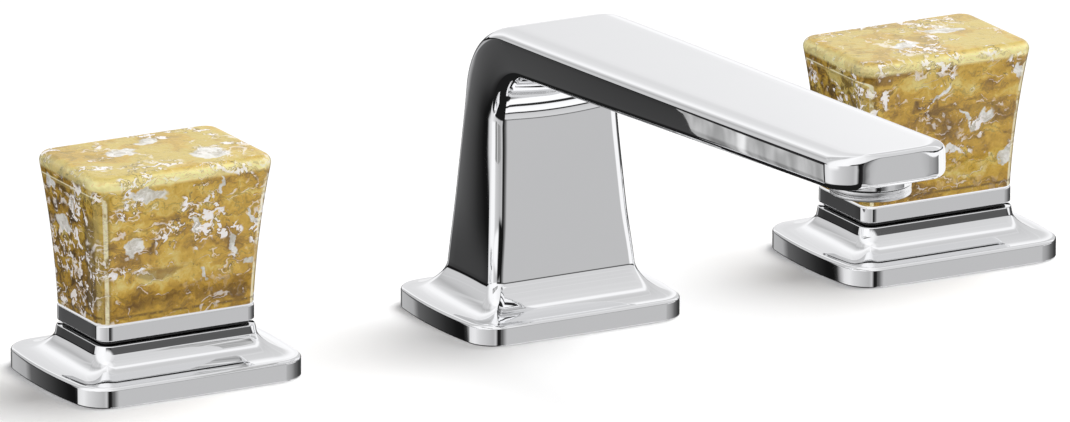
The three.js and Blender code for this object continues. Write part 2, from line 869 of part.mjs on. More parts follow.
// A disc with holes that fits in the housing
function piercedDisc(holeRadius, bottom, thickness) {
  const top = bottom + thickness;
  const holes = [rod(holeRadius, bottom - overrun, top + overrun, holeSides)];
  for (let i = 0; i < hexSides; i += 1) {
    const angle = (2 * Math.PI * i) / hexSides;
    const x = insertHoleCircle * Math.cos(angle);
    const y = insertHoleCircle * Math.sin(angle);
    holes.push(rod(holeRadius, bottom - overrun, top + overrun, holeSides, x, y));
  }
  return cut(rod(aeratorBore - fitGap, bottom, top), ...holes);
}

function aeratorSeal() {
  const bottom = aeratorTop + seatGap;
  return ring(aeratorSealBore, aeratorThreadRadius, bottom, bottom + aeratorSealThickness);
}

function spoutShank() {
  const shankRadius = socketRadius - fitGap;
  const top = socketDepth - seatGap;
  return cut(rod(shankRadius, -shankLength, top), rod(shankBore, -shankLength - overrun, top + overrun));
}

function shankSeal() {
  return ring(socketRadius, socketRadius + shankSealSection, seatGap, seatGap + shankSealSection);
}

function tee() {
  const nippleHeight = -(shankLength + teeChamberDrop) / 2;
  const boreEnd = nippleReach + overrun;
  const blank = joined(
    rod(teeRadius, -teeBottomDrop, -teeTopDrop),
    rodAlongX(nippleRadius, -nippleReach, nippleReach, 0, nippleHeight),
  );
  const chamberTop = -shankLength - seatGap;
  return cut(
    blank,
    rod(socketRadius, chamberTop, -teeTopDrop + overrun),
    rod(shankBore, -teeChamberDrop, chamberTop + overrun),
    rodAlongX(outletBoreRadius, -boreEnd, boreEnd, 0, nippleHeight),
  );
}

function addSpout() {
  const group = unit(0);
  const add = (name, look, manifold) => piece(group, name, look, manifold);
  add('spout_body', chrome, spoutBody());
  add('spout_gasket', foam, gasket(
    spoutPlateLength, spoutPlateDepth, spoutPlateCorner, socketBossRadius + fitGap,
  ));
  add('spout_shank', brass, spoutShank());
  add('shank_seal', rubber, shankSeal());
  add('spout_washer', steel, washer(socketRadius));
  add('spout_lock_nut', brass, lockNut(socketRadius));
  add('spout_tee', brass, tee());
  const aerator = new THREE.Group();
  aerator.position.y = -aeratorCentre;
  group.add(aerator);
  piece(aerator, 'aerator_housing', chrome, aeratorHousing());
  const insert = piercedDisc(insertHoleRadius, insertBottom, insertThickness);
  const screen = piercedDisc(screenHoleRadius, screenBottom, screenThickness);
  piece(aerator, 'aerator_insert', greyPlastic, insert);
  piece(aerator, 'aerator_screen', steel, screen);
  piece(aerator, 'aerator_seal', rubber, aeratorSeal());
}

addHandle(-unitSpacing, 1, 'left');
addHandle(unitSpacing, -1, 'right');
addSpout();

export default faucet;
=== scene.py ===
# %% [markdown]
# # A widespread bathroom faucet in polished chrome and gold leaf
#
# The faucet stands on a basin's deck in three units: a flat spout in the middle and a
# block-shaped handle on either side. The solids come from the CAD model and stay where they
# are. This lesson puts a finer skin over the shapes that the eye lands on, gives each piece
# its finish, and sets up a small photo studio.

import math

import bmesh
import bpy
from mathutils import Matrix, Vector


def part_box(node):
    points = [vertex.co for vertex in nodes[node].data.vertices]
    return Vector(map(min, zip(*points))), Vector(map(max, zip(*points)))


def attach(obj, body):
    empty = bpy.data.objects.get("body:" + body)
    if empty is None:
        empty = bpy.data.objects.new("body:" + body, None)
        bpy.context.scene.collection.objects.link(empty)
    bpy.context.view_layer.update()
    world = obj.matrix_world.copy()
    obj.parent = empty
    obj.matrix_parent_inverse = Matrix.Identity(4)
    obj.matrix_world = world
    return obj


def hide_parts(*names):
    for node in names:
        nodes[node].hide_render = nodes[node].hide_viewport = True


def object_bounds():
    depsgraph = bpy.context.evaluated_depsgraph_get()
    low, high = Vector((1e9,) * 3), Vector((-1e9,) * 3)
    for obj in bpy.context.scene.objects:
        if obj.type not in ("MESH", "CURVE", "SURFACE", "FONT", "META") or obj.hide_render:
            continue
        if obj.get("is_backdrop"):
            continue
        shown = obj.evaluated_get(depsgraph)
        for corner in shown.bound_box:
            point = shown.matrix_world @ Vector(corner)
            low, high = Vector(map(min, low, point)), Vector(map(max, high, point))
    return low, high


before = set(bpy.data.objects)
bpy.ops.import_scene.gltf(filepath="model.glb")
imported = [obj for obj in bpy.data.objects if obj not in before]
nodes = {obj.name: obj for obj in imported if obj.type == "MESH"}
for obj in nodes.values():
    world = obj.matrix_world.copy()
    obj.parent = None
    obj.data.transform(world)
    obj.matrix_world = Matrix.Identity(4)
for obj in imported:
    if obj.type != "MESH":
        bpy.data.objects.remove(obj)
cad_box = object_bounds()
bpy.ops.object.select_all(action="DESELECT")
mm = 0.001
print("CAD nodes:", len(nodes))

# %% [markdown]
# ## The camera
#
# A product photographer stands well back with a long lens, so that the three units keep their
# sizes. The distance, turn and height were fitted to the edges of the plates and blocks. The
# picture has a hair of roll, which the first turn, about the line of sight, gives.

# %% Set up the camera
eye_turn = math.radians(29.322)
eye_height = math.radians(16.189)
eye_roll = math.radians(0.191)
eye_distance = 3510.06 * mm
aim = Vector((-1.44 * mm, 0, 24.23 * mm))

back = Vector((
    -math.sin(eye_turn) * math.cos(eye_height),
    -math.cos(eye_turn) * math.cos(eye_height),
    math.sin(eye_height),
))
lens_data = bpy.data.cameras.new("studio_camera")
lens_data.lens = 506.07
lens_data.sensor_width = 36
lens_data.clip_end = 20
camera = bpy.data.objects.new("studio_camera", lens_data)
bpy.context.scene.collection.objects.link(camera)
camera_turn = (
    Matrix.Rotation(-eye_turn, 4, "Z")
    @ Matrix.Rotation(math.pi / 2 - eye_height, 4, "X")
    @ Matrix.Rotation(eye_roll, 4, "Z")
)
camera.matrix_world = Matrix.Translation(aim + back * eye_distance) @ camera_turn
bpy.context.scene.camera = camera
bpy.context.scene.view_settings.view_transform = "Standard"
print("eye at", [round(value, 3) for value in camera.matrix_world.translation])

# %% [markdown]
# ## Writing node maths as sums
#
# A finish is a small sum of noises, masks and heights. Wiring it node by node hides the sum,
# so one class wraps a node's output and lets plus, minus and times be written plainly, and one
# method adds a node with its settings and inputs in a single call.

# %% Wrap a node's output
class Wire:
    """A node's output, which sums and comparisons can be written with."""

    def __init__(self, sheet, socket):
        self.sheet = sheet
        self.socket = socket

    def math(self, operation, *terms):
        inputs = dict(enumerate(terms))
        made = self.sheet.add("ShaderNodeMath", {"operation": operation}, inputs)
        return made[0]

    def __add__(self, other):
        return self.math("ADD", self, other)

    __radd__ = __add__

    def __sub__(self, other):
        return self.math("SUBTRACT", self, other)

    def __rsub__(self, other):
        return self.math("SUBTRACT", other, self)

    def __mul__(self, other):
        return self.math("MULTIPLY", self, other)

    __rmul__ = __mul__

    def __truediv__(self, other):
        return self.math("DIVIDE", self, other)

    def __rtruediv__(self, other):
        return self.math("DIVIDE", other, self)

    def __abs__(self):
        return self.math("ABSOLUTE", self)

    def vector(self, operation, *terms, output=0):
        inputs = dict(enumerate(terms))
        return self.sheet.add("ShaderNodeVectorMath", {"operation": operation}, inputs)[output]

    def larger(self, other):
        return self.math("MAXIMUM", self, other)

    def rise(self, low, high):
        """0 below low, 1 above high, and a smooth step between them."""
        settings = {"interpolation_type": "SMOOTHSTEP"}
        inputs = {"Value": self, "From Min": low, "From Max": high}
        return self.sheet.add("ShaderNodeMapRange", settings, inputs)["Result"]

    def fall(self, low, high):
        return 1 - self.rise(low, high)

    def between(self, low, high, soft):
        """1 from low to high, with soft ends."""
        return self.rise(low - soft, low + soft) * self.fall(high - soft, high + soft)


print("sums of node outputs can be written")


# %% Wrap a node and a node tree
class Made:
    """A new node, whose outputs are found by name or number."""

    def __init__(self, sheet, node):
        self.sheet = sheet
        self.node = node

    def __getitem__(self, name):
        return Wire(self.sheet, self.node.outputs[name])


class Sheet:
    """A node tree that nodes are added to, each in one call."""

    def __init__(self, tree):
        self.tree = tree
        tree.nodes.clear()

    def add(self, kind, settings=None, inputs=None, stops=()):
        node = self.tree.nodes.new(kind)
        for name, value in (settings or {}).items():
            setattr(node, name, value)
        for place, (share, colour) in enumerate(stops):
            points = node.color_ramp.elements
            point = points[place] if place < 2 else points.new(share)
            point.position = share
            point.color = colour if len(colour) == 4 else (*colour, 1)
        for name, value in (inputs or {}).items():
            socket = node.inputs[name]
            if isinstance(value, Wire):
                self.tree.links.new(value.socket, socket)
            else:
                socket.default_value = value
        return Made(self, node)

    def blend(self, share, first, second):
        """The first colour where share is 0 and the second where it is 1."""
        inputs = {0: share, 6: paint(first), 7: paint(second)}
        return self.add("ShaderNodeMix", {"data_type": "RGBA"}, inputs)[2]

    def noise(self, place, scale, detail=2.0, roughness=0.5, distortion=0.0):
        inputs = {
            "Vector": place, "Scale": scale, "Detail": detail,
            "Roughness": roughness, "Distortion": distortion,
        }
        return self.add("ShaderNodeTexNoise", {}, inputs)["Fac"]

    def ramp(self, share, stops):
        """Colours along a share from 0 to 1."""
        return self.add("ShaderNodeValToRGB", {}, {0: share}, stops)["Color"]

    def place(self):
        """Where a point lies on its piece."""
        return self.add("ShaderNodeTexCoord")["Object"]

    def split(self, vector):
        """The three numbers of a vector."""
        numbers = self.add("ShaderNodeSeparateXYZ", {}, {0: vector})
        return numbers["X"], numbers["Y"], numbers["Z"]

    def joined(self, first, second):
        """A vector of two numbers and a zero."""
        return self.add("ShaderNodeCombineXYZ", {}, {"X": first, "Y": second, "Z": 0.0})[0]

    def bump(self, height, strength, distance):
        inputs = {"Height": height, "Strength": strength, "Distance": distance}
        return self.add("ShaderNodeBump", {}, inputs)["Normal"]

    def cover(self, shader):
        """Puts a shader on the outside of the piece."""
        self.add("ShaderNodeOutputMaterial", {}, {"Surface": shader[0]})


def paint(colour):
    """A colour as a socket takes it."""
    if isinstance(colour, Wire):
        return colour
    return (*colour, 1) if len(colour) == 3 else colour


def new_finish(name):
    """An empty material and the sheet for its nodes."""
    finish = bpy.data.materials.new(name)
    finish.use_nodes = True
    return finish, Sheet(finish.node_tree)


print("node trees can be filled")

# %% [markdown]
# ## The studio
#
# Polished metal has no colour of its own: it shows the room. The photographer hung a white
# tent over the faucet, put black flags behind it and one in front, and left a dark gap where
# the tent meets the table. These could be planes of light and black card. A world that answers
# by direction does the same for metal alone, while the camera sees plain white and matt
# surfaces get even light.

# %% Name the tones of the room
def grey(level):
    """A neutral tone with a trace of blue."""
    return (level, level, level * 1.01)


# Tones by the turn in degrees, where 0 is the back and 90 is the right. A ray that points
# below the horizon meets the low ones, and a ray that points above it the high ones.
low_tones = [
    (-180, 0.05), (-175, 0.012), (-167, 0.012), (-160, 0.6), (-150, 0.47),
    (-118, 0.6), (-95, 0.7), (-75, 0.85), (-60, 0.82), (-46, 0.74), (-43.5, 0.006),
    (-39.5, 0.008), (-35, 0.025), (-30, 0.06), (-26.5, 0.085), (-22, 0.13), (-20, 0.4),
    (-12, 0.5), (4, 0.05), (18, 0.04), (21, 0.9), (37, 0.9), (39, 0.05), (72, 0.05),
    (84, 0.09), (100, 0.15), (116, 0.3), (136, 0.42), (142, 0.54), (158, 0.54), (174, 0.12),
]
high_tones = [
    (-180, 0.9), (-120, 1.05), (-70, 1.0), (-50, 0.6), (-30, 0.62), (-24, 0.58), (-18, 0.47),
    (-8, 0.7), (-2, 1.0), (3, 1.0), (9, 0.88), (15, 0.8), (24, 0.76), (28, 0.8), (29.2, 0.84),
    (30.8, 1.02), (33, 1.02), (37, 0.7), (60, 0.62), (70, 0.68), (77, 1.0), (85, 1.0),
    (93, 0.74), (150, 0.68), (180, 0.85),
]
# Tones by the share of the way from level to straight down
deep_tones = [
    (0.0, 0.55), (0.235, 0.55), (0.245, 0.03), (0.26, 0.03),
    (0.27, 0.7), (0.38, 0.62), (0.39, 0.02), (0.41, 0.02),
    (0.42, 1.1), (0.53, 1.0), (0.54, 0.02), (0.58, 0.02),
    (0.59, 1.1), (0.68, 1.1), (0.72, 0.02), (1.0, 0.02),
]
print("tones named:", len(low_tones) + len(high_tones) + len(deep_tones))

# %% Start the world and find the direction of a ray
world = bpy.data.worlds.new("white_tent")
bpy.context.scene.world = world
world.use_nodes = True
sheet = Sheet(world.node_tree)
x, y, z = sheet.split(sheet.add("ShaderNodeTexCoord")["Generated"])
degrees = 180 / math.pi
turn = x.math("ARCTAN2", x, y) * degrees
height = z.math("ARCSINE", z) * degrees
print("world:", world.name)


# %% Paint the walls
def wall(tones):
    """Tones round the room."""
    stops = [((angle + 180) / 360, grey(tone)) for angle, tone in tones]
    return sheet.ramp((turn + 180) / 360, stops)


# Faint streaks on the high walls, and a bright ceiling
high_wall = wall(high_tones)
streaks = sheet.noise(sheet.joined(turn * 0.02, height * 0.22), 1.0).rise(0.5, 0.72)
high_wall = sheet.blend(streaks * 0.3, high_wall, grey(0.95))
high_wall = sheet.blend(height.rise(66, 78) * 0.6, high_wall, grey(1.1))
seen = sheet.blend(height.rise(-1.0, 1.0), wall(low_tones), high_wall)

# Bright strips low on both sides, and the dark gap where the tent meets the table
bright = turn.between(96, 138, 5) + turn.between(-105, -65, 8)
seen = sheet.blend(height.between(-12, 0, 1.5) * bright, seen, grey(1.0))
open_sides = turn.between(4, 60, 4) + turn.between(-140, -55, 6)
gap = height.between(-1.5, 4.5, 0.8) * (1 - open_sides)
seen = sheet.blend(gap, seen, sheet.blend(turn.rise(110, 140), grey(0.008), grey(0.10)))

# Far below, which only undersides and the arch face
deep = sheet.ramp(height / -90, [(share, grey(tone)) for share, tone in deep_tones])
left_low = sheet.blend(height.fall(-20.5, -18), seen, grey(0.012))
right_low = sheet.blend(height.fall(-24, -21), seen, deep)
seen = sheet.blend(turn.rise(28, 34), left_low, right_low)
print("walls painted")

# %% Let metal alone see the tent
matt_level = 0.41
path = sheet.add("ShaderNodeLightPath")
to_metal = path["Is Glossy Ray"].larger(path["Is Transmission Ray"])
even, tent, plain_white = [
    sheet.add("ShaderNodeBackground", {}, {"Color": paint(colour), "Strength": 1.0})[0]
    for colour in (grey(matt_level), seen, (1, 1, 1))
]
mixed_light = sheet.add("ShaderNodeMixShader", {}, {0: to_metal, 1: even, 2: tent})[0]
to_camera = path["Is Camera Ray"]
mixed_light = sheet.add("ShaderNodeMixShader", {}, {
    0: to_camera, 1: mixed_light, 2: plain_white,
})[0]
sheet.add("ShaderNodeOutputWorld", {}, {"Surface": mixed_light})
print("even light on matt surfaces:", matt_level)

# %% [markdown]
# ## The table and the lamps
#
# A white table carries the faucet and takes its soft shadows, which fall to the left and the
# front. One lamp stands high on the right. It is a sun lamp with a wide angle, because that
# gives the same soft edge to all three units. Metal doesn't see it, as the tent already has
# its bright walls. In the photograph the long arm throws almost no shadow. So a low fill lamp
# lies under its left side and lights the table alone.

# %% Lay the table
def table_finish():
    finish, sheet = new_finish("white_table")
    speckle = sheet.noise(sheet.place(), 3.0)
    tone = sheet.blend(speckle, (0.99, 0.99, 0.99), (1.0, 1.0, 1.0))
    sheet.cover(sheet.add("ShaderNodeBsdfDiffuse", {}, {"Color": tone}))
    return finish


table_width = 8
bpy.ops.mesh.primitive_plane_add(size=table_width, location=(0, 0, 0))
table = bpy.context.object
table.name = "studio_table"
table.data.materials.append(table_finish())
table.visible_glossy = False
table.visible_transmission = False
table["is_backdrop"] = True
print("table:", table_width, "m wide")

# %% Hang the high lamp
lamp_data = bpy.data.lights.new("high_lamp", "SUN")
lamp_data.energy = 2.6
lamp_data.angle = math.radians(40)
lamp = bpy.data.objects.new("high_lamp", lamp_data)
bpy.context.scene.collection.objects.link(lamp)
lamp_from = Vector((0.6, 0.17, 1.0))
lamp.rotation_euler = lamp_from.to_track_quat("Z", "Y").to_euler()
lamp.visible_glossy = False
print("lamp shines from", tuple(round(value, 2) for value in lamp_from))

# %% Lay the low fill lamp under the arm
fill_wide, fill_long = 62 * mm, 134 * mm
fill_place = (-44 * mm, -94 * mm, 18 * mm)
lit_by_fill = bpy.data.collections.new("lit_by_fill")
lit_by_fill.objects.link(table)
fill_data = bpy.data.lights.new("low_fill", "AREA")
fill_data.shape = "RECTANGLE"
fill_data.size, fill_data.size_y = fill_wide, fill_long
fill_data.energy = 0.013
fill = bpy.data.objects.new("low_fill", fill_data)
bpy.context.scene.collection.objects.link(fill)
fill.location = fill_place
fill.visible_camera = False
fill.visible_glossy = False
fill.light_linking.receiver_collection = lit_by_fill

# %% [markdown]
# ## Two small cards beside the spout
#
# Along the front half of the arm the left side turns from charcoal to a streaky light grey, and
# the far corner of the tip shines white. A direction alone can't give that, because the whole
# side faces one way. So a grey card stands to the left of the arm, where only its front half
# sees it, and a white one to the right of the tip. They are there for reflections alone: the
# camera and the table don't see them.

# %% Stand the cards
def card_finish(name, streaky):
    finish, sheet = new_finish(name)
    x, y, z = sheet.split(sheet.place())
    along, up = y / mm, z / mm
    slant = along + up * 0.35
    cloud = sheet.noise(sheet.joined(slant * 0.16, up * 0.02), 1.0).rise(0.35, 0.68)
    tone = 0.95 + 0.1 * cloud
    if streaky:
        tone = 0.2 + 0.25 * cloud
        tone = tone + 0.35 * slant.between(-28, -24, 1.0) + 0.16 * up.rise(42, 44)
    colour = sheet.add("ShaderNodeCombineColor", {}, {"Red": tone, "Green": tone, "Blue": tone})
    inputs = {"Color": colour["Color"], "Strength": 1.0}
    sheet.cover(sheet.add("ShaderNodeEmission", {}, inputs))
    return finish


def stand_card(name, x, near, far, low, high, streaky):
    """An upright card that faces along X, seen by reflections alone."""
    bpy.ops.object.select_all(action="DESELECT")
    bpy.ops.mesh.primitive_plane_add(size=1)
    card = bpy.context.object
    card.name = name
    corners = [(near, low), (far, low), (near, high), (far, high)]
    card.data.vertices.foreach_set("co", [v * mm for y, z in corners for v in (x, y, z)])
    card.data.materials.append(card_finish(name, streaky))
    card.visible_camera = False
    card.visible_diffuse = False
    card.visible_shadow = False
    card.visible_transmission = False
    card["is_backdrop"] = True
    return card


grey_card = stand_card("grey_card", x=-64, near=-88, far=-19, low=37, high=62, streaky=True)
tip_card = stand_card("tip_card", x=40, near=-168, far=-118, low=50, high=78, streaky=False)
print("cards:", grey_card.name, tip_card.name)

# %% [markdown]
# ## Drawing outlines
#
# Every cross-section of this faucet is a rectangle with round corners, and the plates' ends
# are bowed a little. One function walks round such an outline. It starts at the front of the
# right-hand end and always makes the same number of points, so that any outline can be
# bridged to any other.

# %% Draw a rounded rectangle
end_steps = 7
side_steps = 13
corner_steps = 8


def outline(length, depth, corner, end_bow=0.0, side_bow=0.0):
    """Points round a rectangle with round corners, whose ends and sides may be bowed."""
    core_x = length / 2 - corner - end_bow
    core_y = depth / 2 - corner - side_bow
    sides = [
        (lambda t: (core_x + end_bow * (1 - t * t), core_y * t),
         lambda t: (1, 2 * end_bow * t / core_y)),
        (lambda t: (-core_x * t, core_y + side_bow * (1 - t * t)),
         lambda t: (-2 * side_bow * t / core_x, 1)),
        (lambda t: (-core_x - end_bow * (1 - t * t), -core_y * t),
         lambda t: (-1, -2 * end_bow * t / core_y)),
        (lambda t: (core_x * t, -core_y - side_bow * (1 - t * t)),
         lambda t: (2 * side_bow * t / core_x, -1)),
    ]
    points = []
    for number, (place, out) in enumerate(sides):
        steps = side_steps if number % 2 else end_steps
        for step in range(steps + 1):
            t = -1 + 2 * step / steps
            normal = Vector(out(t)).normalized()
            points.append(Vector(place(t)) + normal * corner)
        following = sides[(number + 1) % 4][1]
        first = math.atan2(*reversed(out(1)))
        turn = (math.atan2(*reversed(following(-1))) - first) % (2 * math.pi)
        centre = Vector(place(1))
        for step in range(1, corner_steps):
            angle = first + turn * step / corner_steps
            points.append(centre + corner * Vector((math.cos(angle), math.sin(angle))))
    return points


def circle(radius):
    """A round outline whose points lie in the directions of a rectangle's."""
    nearly_round = 0.98
    share = outline(2 * radius, 2 * radius, radius * nearly_round)
    return [point.normalized() * radius for point in share]


print("points in an outline:", len(outline(40, 20, 3)))


# %% Lay outlines level
def level(points, height, shift=0.0):
    """An outline's points at a height, in metres and perhaps shifted back."""
    return [Vector((point.x, point.y + shift, height)) * mm for point in points]


def level_ring(length, depth, corner, height, inset=0.0, bows=(0.0, 0.0)):
    """An outline at a height, drawn in on all sides by an inset."""
    points = outline(length - 2 * inset, depth - 2 * inset, corner - inset, *bows)
    return level(points, height)


def quarter_round(radius, steps):
    """Pairs along a quarter of a circle: the first falls to 0 and the second rises from 0."""
    angles = [math.pi / 2 * step / steps for step in range(steps + 1)]
    return [(radius * (1 - math.sin(a)), radius * (1 - math.cos(a))) for a in angles]


def even_shares(steps):
    """Even shares of a way, the last of which is 1."""
    return [step / steps for step in range(1, steps + 1)]


def mixed(first, second, share):
    """The first row of sizes where share is 0 and the second where it is 1."""
    return tuple(a + (b - a) * share for a, b in zip(first, second))


print("a round edge in 4 steps:", [round(fall, 2) for fall, rise in quarter_round(1, 4)])

# %% [markdown]
# ## Lofting
#
# A caster's pattern-maker cuts templates for the sections and blends one into the next. Here
# each section is a wire circle that is put into its shape, and the bridge tool makes the skin
# from each one to the next. Building it this way keeps every corner radius as measured, which
# scaling an extruded face would not.

# %% Select rings of a skin
def only(piece):
    """Selects one object and makes it the active one."""
    bpy.ops.object.select_all(action="DESELECT")
    piece.select_set(True)
    bpy.context.view_layer.objects.active = piece


def select_rings(piece, count, *rings):
    """Selects whole rings of points by their numbers."""
    bpy.ops.mesh.select_all(action="DESELECT")
    net = bmesh.from_edit_mesh(piece.data)
    net.verts.ensure_lookup_table()
    for ring in rings:
        for vertex in net.verts[ring * count:(ring + 1) * count]:
            vertex.select = True
    net.select_flush_mode()
    bmesh.update_edit_mesh(piece.data)


print("rings can be selected")


# %% Bridge sections into a skin
def close_ring(piece, count, ring):
    """Closes a ring with strips between the points that face each other."""
    select_rings(piece, count, ring)
    bpy.ops.mesh.select_mode(type="EDGE")
    net = bmesh.from_edit_mesh(piece.data)
    first = ring * count
    ends = [(end_steps - 1) // 2, (end_steps - 1) // 2 + count // 2]
    gaps = [{first + end, first + end + 1} for end in ends]
    for edge in net.edges:
        if edge.select and {vertex.index for vertex in edge.verts} in gaps:
            edge.select = False
    bmesh.update_edit_mesh(piece.data)
    bpy.ops.mesh.bridge_edge_loops()
    bpy.ops.mesh.select_mode(type="VERT")


def loft(name, rings, closed=False, ends=()):
    """A skin over rings of points, closed on itself or with its ends closed."""
    count = len(rings[0])
    bpy.ops.object.select_all(action="DESELECT")
    bpy.ops.mesh.primitive_circle_add(vertices=count, radius=mm)
    piece = bpy.context.object
    piece.name = name
    piece.data.name = name
    bpy.ops.object.mode_set(mode="EDIT")
    for _ in rings[1:]:
        bpy.ops.mesh.primitive_circle_add(vertices=count, radius=mm)
    bpy.ops.object.mode_set(mode="OBJECT")
    flat = [value for ring in rings for point in ring for value in point]
    piece.data.vertices.foreach_set("co", flat)
    bpy.ops.object.mode_set(mode="EDIT")
    bpy.ops.mesh.select_mode(type="VERT")
    for ring in range(len(rings) - 1):
        select_rings(piece, count, ring, ring + 1)
        bpy.ops.mesh.bridge_edge_loops()
    if closed:
        select_rings(piece, count, len(rings) - 1, 0)
        bpy.ops.mesh.bridge_edge_loops()
    for ring in ends:
        close_ring(piece, count, ring % len(rings))
    bpy.ops.mesh.select_all(action="SELECT")
    bpy.ops.mesh.remove_doubles(threshold=0.002 * mm)
    bpy.ops.mesh.normals_make_consistent(inside=False)
    bpy.ops.object.mode_set(mode="OBJECT")
    return piece


print("sections can be lofted")


# %% Polish, copy and join pieces
def polish(piece, angle=32):
    """Smooths the curved faces and keeps the flat ones flat."""
    only(piece)
    bpy.ops.object.shade_smooth_by_angle(angle=math.radians(angle))
    weigh = piece.modifiers.new("even_shading", "WEIGHTED_NORMAL")
    weigh.weight = 100
    weigh.keep_sharp = True
    bpy.ops.object.modifier_apply(modifier=weigh.name)
    print(piece.name, "has", len(piece.data.polygons), "faces")
    return piece


def copied(piece, name, along):
    """A copy with its own mesh, moved along X within the mesh."""
    only(piece)
    bpy.ops.object.duplicate(linked=False)
    twin = bpy.context.object
    twin.name = name
    twin.data.name = name
    twin.data.transform(Matrix.Translation((along, 0, 0)))
    return twin


def join_shape(piece, other, operation):
    """Adds another solid to a piece or cuts it away, and removes it."""
    only(piece)
    work = piece.modifiers.new("work", "BOOLEAN")
    work.operation = operation
    work.solver = "EXACT"
    work.object = other
    bpy.ops.object.modifier_apply(modifier=work.name)
    bpy.data.objects.remove(other)


print("pieces can be finished")

# %% [markdown]
# ## Chrome
#
# Bright nickel-chrome plating is a mirror over a polished casting. Hand polishing leaves the
# surface very slightly wavy, and wiping leaves patches that are a touch less sharp. A mirror
# with an even tiny roughness would look computed, so a slow noise moves the roughness and a
# faint bump bends the reflections by a hair.

# %% Mix the chrome
def chrome_finish(name, waviness=0.02, satin=0.0):
    finish, sheet = new_finish(name)
    place = sheet.place()
    wiped = sheet.noise(place, 38.0, 4.0, 0.6)
    fine = sheet.noise(place, 900.0)
    wave = sheet.noise(place, 55.0, 1.0)
    tone = sheet.blend(wiped, (0.925, 0.93, 0.94), (0.955, 0.957, 0.962))
    rough = satin + 0.022 + 0.03 * wiped.rise(0.45, 0.75) + 0.006 * fine
    bump = sheet.bump(wave, waviness, 0.0004)
    sheet.cover(sheet.add("ShaderNodeBsdfPrincipled", {}, {
        "Base Color": tone, "Metallic": 1.0, "Roughness": rough, "Normal": bump,
    }))
    return finish


def dress(piece, finish):
    """Gives a piece its finish."""
    piece.data.materials.clear()
    piece.data.materials.append(finish)


chrome = chrome_finish("polished_chrome")
print("finish:", chrome.name)

# %% [markdown]
# ## The plates
#
# Each unit stands on a plate with an upright rim, whose top sweeps up in a hollow cove to a
# rectangular neck. Under it the plate is a thin shell, with a bore for the valve. The skin
# runs once round the whole wall: up the rim, along the cove, over the neck, down the bore and
# out under the roof of the hollow, and closes where it began. A bevelled box couldn't follow
# the hollow of the cove, so the wall is lofted through rings.

# %% Take the measures of plates, bands and blocks
def size_of(node):
    low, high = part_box(node)
    return (high - low) / mm


def middle_of(node):
    low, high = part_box(node)
    return (low.x + high.x) / 2


def heights_of(node):
    """Where a node begins and ends above the deck, in millimetres."""
    low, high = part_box(node)
    return low.z / mm, high.z / mm


plate_size = size_of("handle_plate_left")
band_size = size_of("handle_band_left")
block_size = size_of("handle_block_left")
left_x = middle_of("handle_plate_left")
right_x = middle_of("handle_plate_right")
band_low, band_high = heights_of("handle_band_left")
block_low, block_high = heights_of("handle_block_left")
for name, size in (("plate", plate_size), ("band", band_size), ("block", block_size)):
    print(name, "measures", [round(value, 2) for value in size], "mm")

# %% Name the sizes of a plate's wall
rim_height = 4.9
rim_rounding = 0.9
foot_rounding = 0.3
rim_wall = 2.6
hollow = 2.6
plate_bows = (1.0, 0.15)
bore_radius = 10.25
cove_steps = 20
# 1 would make the cove a straight slope, and 2 a quarter of an ellipse
cove_power = 1.7
print("rim:", rim_height, "mm high and", rim_wall, "mm thick")


# %% Draw a plate's skin
def plate_skin(length, depth, corner, neck, neck_corner, cove_top, shift=0.0, flare=0.0, last=1.0):
    """Rings from the deck up the rim and along the cove to the neck's outline.

    The cove stops short of upright where last is less than 1."""
    rings = []
    for inset, rise in quarter_round(foot_rounding, 3):
        rings.append(level_ring(length, depth, corner, rise, inset, plate_bows))
    for drop, inset in quarter_round(rim_rounding, 6):
        rings.append(level_ring(length, depth, corner, rim_height - drop, inset, plate_bows))
    rim = (length - 2 * rim_rounding, depth - 2 * rim_rounding, corner - rim_rounding)
    top = (neck[0] + 2 * flare, neck[1] + 2 * flare, neck_corner + flare)
    full_run = math.sin(math.pi / 2 * last) ** (2 / cove_power)
    full_rise = 1 - math.cos(math.pi / 2 * last) ** (2 / cove_power)
    for share in even_shares(cove_steps):
        angle = math.pi / 2 * share * last
        run = 1 - math.sin(angle) ** (2 / cove_power) / full_run
        rise = (1 - math.cos(angle) ** (2 / cove_power)) / full_rise
        points = outline(*mixed(top, rim, run), *(bow * run for bow in plate_bows))
        height = rim_height + (cove_top - rim_height) * rise
        rings.append(level(points, height, shift * (1 - run)))
    return rings


def under_plate(length, depth, corner, round_hole):
    """Rings of the hollow under a plate, from the hole outwards and down to the deck."""
    roof, foot = (
        level_ring(length, depth, corner, height, rim_wall, plate_bows) for height in (hollow, 0)
    )
    return [level(circle(round_hole), hollow), roof, foot]


print("a plate's wall can be drawn")

# %% Model the handle plate
neck = (41.4, 25.0)
neck_corner = 3.4
neck_edge = 0.22
neck_flare = 0.3
plate_corner = 7.6
neck_top = 11.4
cove_top = 9.5
cove_end = 0.96
bore_lip = 0.2


def handle_plate():
    sizes = (plate_size.x, plate_size.y, plate_corner)
    rings = plate_skin(*sizes, neck, neck_corner, cove_top, flare=neck_flare, last=cove_end)
    for drop, inset in quarter_round(neck_edge, 4):
        rings.append(level_ring(*neck, neck_corner, neck_top - drop, inset))
    rings.append(level(circle(bore_radius + bore_lip), neck_top))
    rings.append(level(circle(bore_radius), neck_top - bore_lip))
    rings += under_plate(*sizes, bore_radius)
    return loft("handle_plate_skin_left", rings, closed=True)


plate = polish(handle_plate())
plate.data.transform(Matrix.Translation((left_x, 0, 0)))
dress(plate, chrome)
plate_twin = copied(plate, "handle_plate_skin_right", right_x - left_x)
for piece, node in ((plate, "handle_plate_left"), (plate_twin, "handle_plate_right")):
    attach(piece, "fixed_units")
    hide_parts(node)

